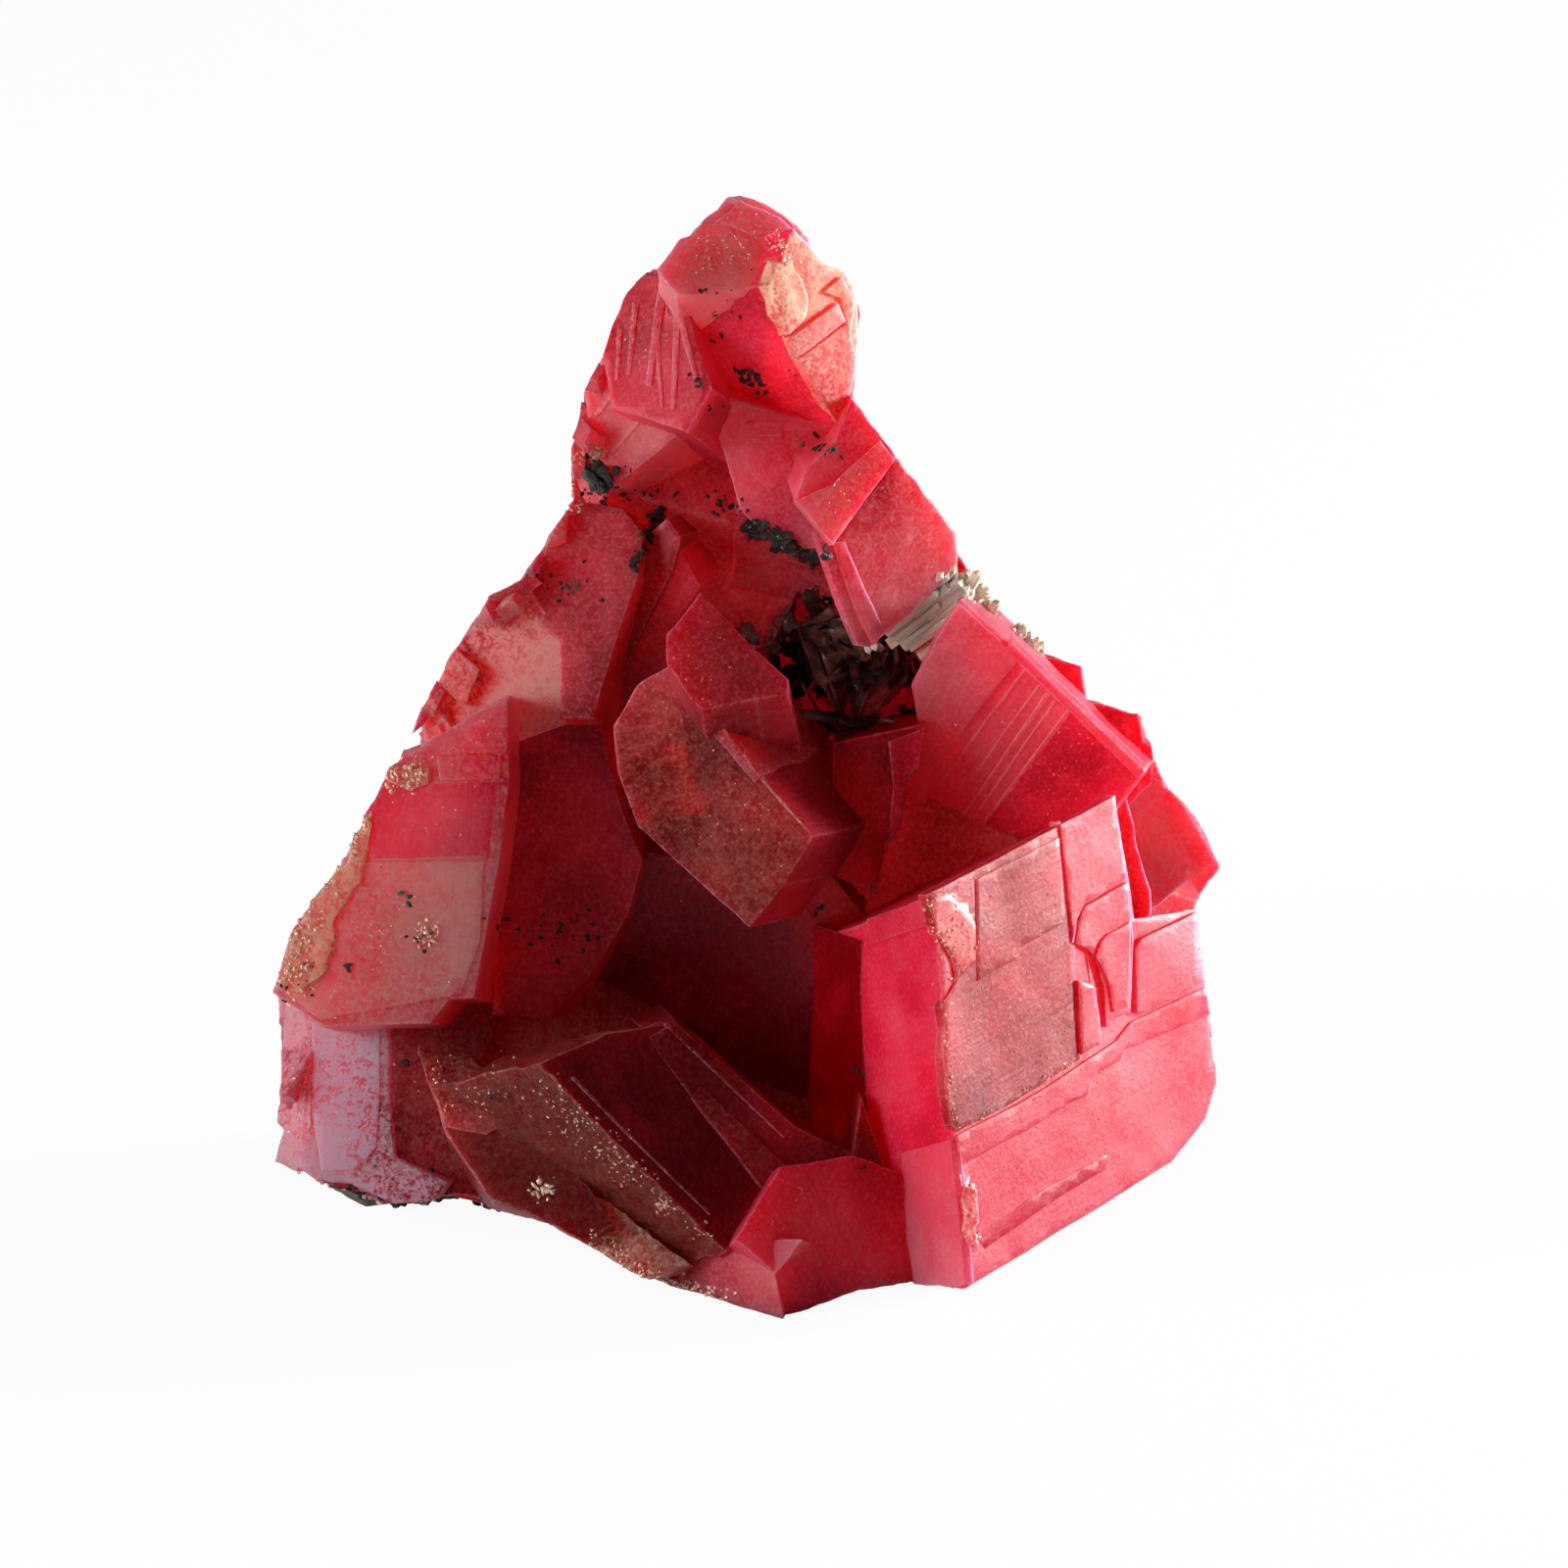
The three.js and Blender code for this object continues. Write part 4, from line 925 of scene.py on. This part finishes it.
# Small crystals that crowd the joints and the rim, in mm.
clumps = [
    {"from": (-17, 95), "to": (-18.2, 85), "depth": -10, "spread": 1.2, "count": 7, "size": (2, 4)},
    {"from": (-20.5, 80), "to": (-26, 73.5), "depth": -15, "spread": 1.5, "count": 14, "size": (1.5, 4),
     "frost": (0.5, 1)},
    {"from": (-29, 69), "to": (-33, 60), "depth": -18, "spread": 1.5, "count": 14, "size": (1.5, 4),
     "frost": (0.5, 1)},
    {"from": (-38, 53), "to": (-46, 39), "depth": -8, "spread": 1.5, "count": 18, "size": (1.2, 3.6),
     "frost": (0.7, 1.3)},
    # painted reflection: the lilac frost of these rim crystals paints the cool haze on the lower left
    {"from": (-47, 33), "to": (-46.5, 16), "depth": -24, "spread": 1, "count": 10, "size": (2, 5),
     "frost": (1.2, 2), "straw": (-0.8, -0.3)},
    {"from": (-42, 14), "to": (-22, 11), "depth": -24, "spread": 1.2, "count": 14, "size": (1.5, 4)},
    {"from": (-21, 11), "to": (-4, 3), "depth": -14, "spread": 1.2, "count": 16, "size": (1.5, 4)},
    {"from": (28, 67.5), "to": (40, 60), "depth": -28, "spread": 1, "count": 10, "size": (2, 5)},
    {"from": (41, 56), "to": (47, 46), "depth": -32, "spread": 1, "count": 8, "size": (2, 5)},
    {"from": (44, 17), "to": (47, 30), "depth": -32, "spread": 1.5, "count": 8, "size": (2, 5)},
]
clumpSeed = 7


def makeClumps():
    dice = random.Random(clumpSeed)
    made = []
    for clump in clumps:
        for i in range(clump["count"]):
            along = (i + dice.random()) / clump["count"]
            at = Vector(clump["from"]).lerp(Vector(clump["to"]), along).to_3d()
            at += Vector([dice.gauss(0, clump["spread"]) for _ in range(3)])
            at.z += clump["depth"]
            edge = dice.uniform(*clump["size"])
            crystal = {"at": at, "turn": [dice.uniform(0, 360) for _ in range(3)],
                       "edges": [edge * dice.uniform(0.7, 1.2) for _ in range(3)]}
            tint, frost = dice.uniform(0.4, 0.7), dice.uniform(*clump.get("frost", (0.2, 0.7)))
            shown = look(tint, frost, 0.2, dice.uniform(*clump.get("straw", (0, 0.4))))
            made.append(makeRhomb(f"small{len(made):03d}", crystal, shown, bevel=0.1))
    return made


cutSpacing = 1.1  # mm between the cuts that let a face take on its small waves


def makeCluster(material):
    flanks = [makeRhomb(name, crystal, flankLook) for name, crystal in flankCrystals.items()]
    whole = combine(makeCore(), flanks, "UNION")
    whole = combine(whole, [makePrism("pocket", pocket, bevel=0)], "DIFFERENCE")
    fronts = [makePrism(name, crystal) for name, crystal in frontCrystals.items()]
    fronts += [makePlate(name, on, plate) for on, group in plates.items() for name, plate in group.items()]
    fronts += [makeRidge(f"ridge{i:02d}", ridge) for i, ridge in enumerate(ridges)]
    whole = combine(whole, fronts + makeClumps(), "UNION")
    room = {"depth": 60, "slope": (0, 0), "sweep": (0, 0, -160), "face": outline, "look": coreLook}
    into = -(faceTurn.inverted().to_3x3() @ Vector(wall["into"]))
    whole = combine(whole, [makePrism("room", room, bevel=0)], "INTERSECT")
    whole = combine(whole, [makeSlab("ground", (0, 0, 0), upright)], "INTERSECT")
    whole = combine(whole, [makeSlab("rock side", wall["at"], into)], "INTERSECT")
    bm = bmesh.new()
    bm.from_mesh(whole.data)
    bpy.data.objects.remove(whole)
    bmesh.ops.dissolve_degenerate(bm, dist=1e-4, edges=bm.edges[:])
    print("joined", len(bm.faces))
    cutGrid(bm, cutSpacing)
    print("cut", len(bm.faces))
    roughen(bm)
    box = (clusterLow, clusterHigh)
    return addPiece("rhodochrosite", bm, box, material, "rhodochrosite_cluster")


def row(start, end, lean, spread, count, length, radius):
    # needles from start to end on the display face, then how they lean and vary
    return {"from": start, "to": end, "lean": lean, "spread": spread, "count": count, "length": length,
            "radius": radius}


quartz = {
    "rows": [
        row((13.6, 69.4, -12.6), (17.2, 67.4, -14), (0.79, 0.6, 0.08), 0.04, 9, (5, 7.4), (0.5, 0.8)),
        row((15.6, 72.4, -12.6), (19.4, 70, -14), (0.77, 0.62, 0.05), 0.06, 9, (4, 6.4), (0.5, 0.85)),
        row((17.6, 74.4, -12.8), (21.4, 73, -14.6), (0.6, 0.78, 0.1), 0.1, 8, (1.8, 3.4), (0.5, 0.8)),
        row((20.2, 74.6, -13.4), (21.6, 74.4, -14), (-0.12, 0.99, 0.05), 0.06, 3, (3.8, 5), (0.3, 0.4)),
        row((21, 74.6, -15), (24.2, 71.4, -18), (0.5, 0.85, 0.3), 0.45, 70, (0.9, 2), (0.3, 0.55)),
        row((25.8, 69.4, -18.6), (29.2, 67.2, -21), (0.5, 0.8, 0.4), 0.5, 60, (0.8, 2.2), (0.3, 0.55)),
        row((10.4, 73.4, -9.6), (11.6, 72.4, -10.4), (0.36, -0.92, -0.2), 0.05, 2, (4.4, 5.4), (0.35, 0.5)),
    ],
    "seed": 11,
}
pocketBlades = {
    "rows": [
        row((5, 70.6, -23), (10, 69.6, -24.5), (0.5, -0.2, 0.7), 0.5, 24, (5, 9), (0.4, 1.1)),
        row((9, 66, -23), (16, 66.5, -24), (-0.1, 0.3, 0.8), 0.7, 26, (4, 8), (0.4, 1.2)),
        row((8, 61, -22), (13, 60.5, -22), (0.3, 0.5, 0.6), 0.7, 20, (3, 6), (0.4, 1)),
        row((7, 72, -22), (13, 71.2, -22), (0.2, -0.5, 0.7), 0.9, 14, (1.5, 4), (0.4, 0.9)),
    ],
    "seed": 5,
}


def addNeedle(bm, base, lean, length, radius, roll, flat=1.0, tip=0.9):
    # a six-sided prism with a pointed end
    made = bmesh.ops.create_cone(bm, cap_ends=True, segments=6, radius1=radius, radius2=radius * 0.92, depth=length)
    top = max({face for vert in made["verts"] for face in vert.link_faces}, key=lambda f: f.calc_center_median().z)
    point = bmesh.ops.poke(bm, faces=[top], offset=radius * tip)["verts"]
    turn = lean.to_track_quat("Z", "Y").to_matrix().to_4x4() @ Matrix.Rotation(roll, 4, "Z")
    place = Matrix.Translation(base) @ turn @ Matrix.Diagonal((1, flat, 1, 1))
    place @= Matrix.Translation((0, 0, length / 2))
    bmesh.ops.transform(bm, matrix=place, verts=made["verts"] + point)


def makeNeedles(name, spray, flat, material, node):
    dice = random.Random(spray["seed"])
    bm = bmesh.new()
    for row in spray["rows"]:
        for i in range(row["count"]):
            base = Vector(row["from"]).lerp(Vector(row["to"]), (i + dice.random()) / row["count"])
            base += Vector([dice.uniform(-0.5, 0.5) for _ in range(3)])
            lean = Vector(row["lean"]) + Vector([dice.gauss(0, row["spread"]) for _ in range(3)])
            addNeedle(bm, base, lean, dice.uniform(*row["length"]), dice.uniform(*row["radius"]),
                      dice.uniform(0, math.tau), dice.uniform(*flat))
    bmesh.ops.recalc_face_normals(bm, faces=bm.faces[:])
    return addPiece(name, bm, wholeBox, material, node, angle=20)


def addLump(bm, at, size, normal, dice, flat=0.7):
    # an angular grain, half sunk in what it grows on
    made = bmesh.ops.create_icosphere(bm, subdivisions=1, radius=size / 2)["verts"]
    for vert in made:
        vert.co *= dice.uniform(0.7, 1.25)
    turn = normal.to_track_quat("Z", "Y").to_matrix().to_4x4() @ Matrix.Rotation(dice.uniform(0, math.tau), 4, "Z")
    stretch = Matrix.Diagonal((dice.uniform(0.8, 1.5), dice.uniform(0.6, 1), flat, 1))
    bmesh.ops.transform(bm, matrix=Matrix.Translation(at) @ turn @ stretch, verts=made)


castFrom = 60  # mm in front of the display face
grainStack = {"step": 0.35, "sunk": 0.1, "stray": 0.3}  # parts of a grain's size


def scatter(name, zones, surface, seed, material, node):
    # grains on the side that faces the display side, or nearest to a point inside
    dice = random.Random(seed)
    bm = bmesh.new()
    for zone in zones:
        for i in range(zone["count"]):
            place = Vector(zone["from"]).lerp(Vector(zone["to"]), dice.random())
            place += Vector([dice.gauss(0, zone["spread"]) for _ in place])
            if len(place) == 2:
                hit, normal, *_ = surface.ray_cast(place.to_3d() + Vector((0, 0, castFrom)), Vector((0, 0, -1)))
            else:
                hit, normal, *_ = surface.find_nearest(place)
            if hit is None:
                continue
            size = dice.uniform(*zone["size"])
            stray = grainStack["stray"]
            for j in range(zone.get("stack", 1)):
                at = hit + normal * ((j * grainStack["step"] - grainStack["sunk"]) * size)
                at += Vector([dice.uniform(-stray, stray) * size for _ in range(3)])
                addLump(bm, at, size, normal, dice, zone.get("flat", 0.7))
    bmesh.ops.recalc_face_normals(bm, faces=bm.faces[:])
    return addPiece(name, bm, wholeBox, material, node, angle=15)


def spot(u, v, count=1, spread=0.1, size=(0.25, 0.6), to=None, **more):
    return {"from": (u, v), "to": to or (u, v), "count": count, "spread": spread, "size": size, **more}


sulphideZones = {
    "sulphide_knob": [spot(-15.3, 85.6, 26, 0.7, (0.8, 1.8), stack=2), spot(-16, 84, 14, 0.6, (0.4, 1))],
    "sulphide_wedge": [spot(-9.2, 82.6, 34, 0.35, (0.5, 1.3), (-10.6, 79)),
                       spot(-10.6, 79, 20, 0.3, (0.4, 0.9), (-12.4, 76))],
    "sulphide_seam": [spot(-0.6, 80.8, 46, 0.5, (0.6, 1.8), (3.5, 79)),
                      spot(3.5, 79, 44, 0.4, (0.5, 1.4), (7.4, 77)), spot(-3, 82.8, 14, 0.7, (0.3, 0.7))],
}
speckZones = [
    spot(-1, 105.6, 5, 1.6, (0.25, 0.5)), spot(-3.7, 104.4, 5, 0.8), spot(-1.6, 102.8, 5, 0.6),
    spot(-3.6, 102.2, 4, 0.5), spot(-3.6, 99.7, 4, 0.4), spot(-5.3, 94.9, 4, 0.4, (0.4, 0.8)),
    spot(-3.6, 93, 6, 0.5), spot(-1.2, 96.8, 18, 0.5, (0.4, 0.9), (2, 94.4)), spot(0.4, 95.8, 10, 0.5, (0.4, 1)),
    spot(4.4, 96, 3, 0.3), spot(5.5, 89.4, 14, 0.5, (0.4, 0.9), (8.5, 87.9)), spot(-12.2, 86, 4, 0.4),
    spot(-14, 85, 18, 0.6, (0.3, 0.8), (-8, 83)), spot(-4, 83.4, 12, 0.8, (0.3, 0.6), (0, 82)),
    spot(-20.5, 75.8, 20, 1.1, (0.25, 0.6), (-16.4, 74)), spot(-18.4, 74.6, 6, 0.5, (0.4, 0.8)),
    spot(-13.2, 53.8, 16, 0.3, (0.3, 0.6), (-10.8, 46.8)), spot(-7.5, 47.3, 3, 0.3), spot(-7.2, 45, 3, 0.3),
    spot(5.7, 44.1, 3, 0.2, (0.4, 0.7)), spot(6.8, 41.5, 4, 0.3, (0.4, 0.8)), spot(-5.5, 41.1, 3, 0.3),
    spot(-3.3, 39.3, 3, 0.3), spot(11.3, 25.1, 4, 0.3, (0.4, 0.8)), spot(11.2, 15.2, 5, 0.4),
    spot(-35.3, 25.5, 4, 0.3, (0.4, 0.8)), spot(-33.5, 26.3, 3, 0.3), spot(-26.1, 22.6, 3, 0.3),
    spot(-26, 40.4, 40, 1.2, (0.3, 0.8), (-15.5, 38)), spot(-15.6, 41, 6, 0.6, (0.3, 0.8)),
    spot(-41.1, 35.8, 5, 0.3, (0.4, 0.9)), spot(-35, 42.6, 4, 0.3, (0.4, 0.8)), spot(-33.2, 38.6, 12, 0.8),
    spot(-44.7, 35.9, 6, 0.5), spot(-44.4, 33.6, 6, 0.5), spot(-47, 34, 6, 0.5), spot(0, 70, 4, 2, (0.2, 0.4)),
]
rimZones = [
    {"from": (-44, 13.6, -22), "to": (-30, 11, -24), "spread": 1, "count": 170, "size": (0.3, 1), "flat": 0.5},
    {"from": (-27, 11.4, -18), "to": (-20.5, 10, -16), "spread": 0.8, "count": 80, "size": (0.3, 0.9), "flat": 0.5},
    {"from": (-42, 12.8, -30), "to": (-24, 11.4, -30), "spread": 2.5, "count": 160, "size": (0.5, 1.4)},
]
pocketZones = [  # dark lining behind the blades
    {"from": (3, 70, -28), "to": (15, 65, -30), "spread": 2.5, "count": 240, "size": (1.2, 2.8)},
    {"from": (4, 70, -27), "to": (6, 71, -27), "spread": 1, "count": 70, "size": (0.8, 2)},
    {"from": (7, 61, -26), "to": (14, 60.5, -26), "spread": 1, "count": 80, "size": (0.8, 2)},
]
druseZones = [  # pale and golden sparkling grains
    {"from": (-45, 14, -24), "to": (-31, 12, -26), "spread": 0.8, "count": 110, "size": (0.4, 1.1)},
    {"from": (-45.2, 32, -4), "to": (-45.2, 40, -4), "spread": 1, "count": 150, "size": (0.2, 0.8)},
    spot(-48, 33.4, 110, 0.7, (0.2, 0.7), (-44, 42)), spot(-43.6, 44, 150, 0.6, (0.2, 0.7), (-39, 51.5)),
    spot(-36.6, 54.8, 90, 0.8, (0.2, 0.7), (-33, 55.4)), spot(-33, 39, 40, 0.7, (0.3, 0.8)),
    spot(-16.6, 87.4, 60, 0.7, (0.2, 0.7), (-15, 88.6)), spot(-18.4, 85.4, 50, 0.5, (0.2, 0.6), (-18, 82.6)),
    spot(-20, 22, 150, 1.1, (0.12, 0.4), (-12, 14)), spot(-21, 13, 40, 0.6, (0.3, 0.8)),
    spot(-9, 11.4, 24, 0.5, (0.2, 0.6)), spot(-21, 24.6, 110, 0.7, (0.12, 0.4), (-4, 7.6)),
    spot(-16, 8.4, 120, 0.6, (0.2, 0.6), (-11, 4.6)), spot(-11, 4.2, 110, 0.5, (0.2, 0.6), (-2, 1.8)),
    spot(-34, 24, 80, 1.6, (0.15, 0.4), (-24, 22)), spot(-46, 26, 60, 0.8, (0.2, 0.5), (-47, 18)),
    spot(-5, 107.6, 90, 1.2, (0.12, 0.4), (-1, 108.2)), spot(2, 110, 60, 0.6, (0.12, 0.45), (4.6, 108)),
    spot(18, 42.6, 60, 0.4, (0.15, 0.45), (20.6, 34)), spot(19.6, 33, 80, 0.2, (0.12, 0.4), (20.8, 19)),
    spot(21, 19.2, 80, 0.2, (0.12, 0.35), (34, 26.4)), spot(22.6, 13.4, 40, 0.2, (0.15, 0.5), (23, 7.4)),
    spot(20, 40.6, 110, 1, (0.12, 0.4), (22, 37)),
    # the tiniest grains, scattered over many faces, are partly druse and partly painted sparkle standing for glints
    spot(-40, 40, 160, 3, (0.1, 0.25), (-30, 36)), spot(26, 36, 160, 3.5, (0.1, 0.22), (30, 28)),
    spot(-4, 56, 90, 3, (0.1, 0.22), (0, 48)),
    spot(-2, 110, 150, 2.2, (0.1, 0.28)), spot(-12, 98, 110, 2.4, (0.1, 0.24), (-8, 104)),
    spot(8, 80, 90, 2, (0.1, 0.22), (12, 86)), spot(26, 60, 130, 3, (0.1, 0.22), (32, 54)),
    spot(27, 20, 220, 3.5, (0.1, 0.22), (42, 28)), spot(29, 44, 200, 3, (0.1, 0.24), (25, 26)),
    spot(-28, 62, 90, 2, (0.1, 0.24), (-32, 50)), spot(-42, 24, 140, 2.4, (0.1, 0.24), (-42, 18)),
    spot(-8, 60, 110, 2.4, (0.1, 0.22), (-2, 70)), spot(2, 8, 70, 2, (0.1, 0.22), (8, 12)),
]


def sulphideMaterial(veils):
    material, tree, shader = newMaterial("sulphide")
    cloud = addCloud(tree, veils, {"Cloud size": 420})
    tone = addRamp(tree, cloud["Clouds"], [(0.35, (0.006, 0.004, 0.004)), (0.55, (0.022, 0.02, 0.016)),
                                           (0.72, (0.07, 0.12, 0.09))])
    tree.links.new(tone, shader.inputs["Base Color"])
    tree.links.new(addRange(tree, cloud["Specks"], 0, 1, 0.55, 0.25), shader.inputs["Roughness"])
    shader.inputs["Metallic"].default_value = 0.3
    addBump(tree, shader, cloud["Wisps"], 0.6, 0.3)
    return material


def crystalMaterial(name, veils, stops, transmission, roughness):
    # quartz and druse: clear to cloudy, with tiny flaws
    material, tree, shader = newMaterial(name)
    shader.inputs["IOR"].default_value = 1.55
    shader.inputs["Transmission Weight"].default_value = transmission
    cloud = addCloud(tree, veils, {"Cloud size": 260})
    tree.links.new(addRamp(tree, cloud["Clouds"], stops), shader.inputs["Base Color"])
    tree.links.new(addRange(tree, cloud["Wisps"], 0, 1, *roughness), shader.inputs["Roughness"])
    addBump(tree, shader, cloud["Specks"], 0.3, 0.15)
    return material


def rockMaterial(veils):
    material, tree, shader = newMaterial("wall rock")
    cloud = addCloud(tree, veils, {"Cloud size": 130, "Speck size": 800})
    tone = addRamp(tree, cloud["Clouds"], [(0.3, (0.035, 0.04, 0.03)), (0.45, (0.12, 0.105, 0.075)),
                                           (0.58, (0.3, 0.25, 0.18)), (0.72, (0.55, 0.5, 0.4))])
    tone = addMix(tree, addMath(tree, "MULTIPLY", cloud["Specks"], 0.7), tone, (0.02, 0.03, 0.024, 1))
    tree.links.new(tone, shader.inputs["Base Color"])
    tree.links.new(addRange(tree, cloud["Wisps"], 0, 1, 0.85, 0.5), shader.inputs["Roughness"])
    addBump(tree, shader, addMath(tree, "ADD", cloud["Wisps"], cloud["Specks"]), 0.7, 0.4)
    return material


rock = {"cut": 1.3, "rough": 0.7}  # mm between cuts, and how rough the broken faces are


def makeRock(material):
    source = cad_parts["wall_rock"]
    bm = bmesh.new()
    bm.from_mesh(source.data)
    bmesh.ops.remove_doubles(bm, verts=bm.verts[:], dist=1e-6)
    bmesh.ops.transform(bm, matrix=faceFrame.inverted(), verts=bm.verts[:])
    bmesh.ops.recalc_face_normals(bm, faces=bm.faces[:])
    bmesh.ops.dissolve_limit(bm, angle_limit=math.radians(1), verts=bm.verts[:], edges=bm.edges[:])
    cutGrid(bm, rock["cut"])
    paint(bm, bm.faces, {"crinkle": rock["rough"]})
    roughen(bm)
    return addPiece("rough_wall_rock", bm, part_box("wall_rock"), material, "wall_rock", angle=40)


wholeBox = [Vector(corner) for corner in cadBox]
makeCamera()
makeStudio()
for name, light in lights.items():
    makeLight(name, light)
veils, striations = veilGroup(), striationGroup()
print("stage ready")

cluster = makeCluster(rhodochrositeMaterial(veils, striations))
skin = bmesh.new()
skin.from_mesh(cluster.data)
bmesh.ops.transform(skin, matrix=faceFrame.inverted(), verts=skin.verts[:])
surface = BVHTree.FromBMesh(skin)
skin.free()

clearQuartz = crystalMaterial("quartz", veils, [(0.35, (0.86, 0.72, 0.54)), (0.5, (0.94, 0.86, 0.72)),
                                                (0.7, (0.98, 0.95, 0.88))], 0.6, (0.2, 0.06))
smokyQuartz = crystalMaterial("smoky quartz", veils, [(0.35, (0.16, 0.06, 0.05)), (0.5, (0.4, 0.22, 0.18)),
                                                      (0.65, (0.68, 0.48, 0.42))], 0.8, (0.12, 0.03))
pocketLining = crystalMaterial("pocket lining", veils, [(0.35, (0.01, 0.006, 0.005)), (0.5, (0.04, 0.015, 0.012)),
                                                        (0.65, (0.09, 0.03, 0.028))], 0, (0.5, 0.2))
druse = crystalMaterial("druse", veils, [(0.35, (0.66, 0.34, 0.26)), (0.5, (0.74, 0.5, 0.34)),
                                         (0.7, (0.88, 0.74, 0.54))], 0.5, (0.3, 0.1))
sulphide = sulphideMaterial(veils)
makeNeedles("quartz_prisms", quartz, (0.9, 1), clearQuartz, "quartz_spray")
makeNeedles("pocket_blades", pocketBlades, (0.15, 0.4), smokyQuartz, "pocket_needles")
for node, zones in sulphideZones.items():
    scatter(node + "_grains", zones, surface, 3, sulphide, node)
scatter("sulphide_specks", speckZones, surface, 4, sulphide, None)
scatter("sulphide_rim", rimZones, surface, 6, sulphide, None)
scatter("pocket_lining", pocketZones, surface, 9, pocketLining, None)
scatter("druse_grains", druseZones, surface, 8, druse, "quartz_crust")
makeRock(rockMaterial(veils))
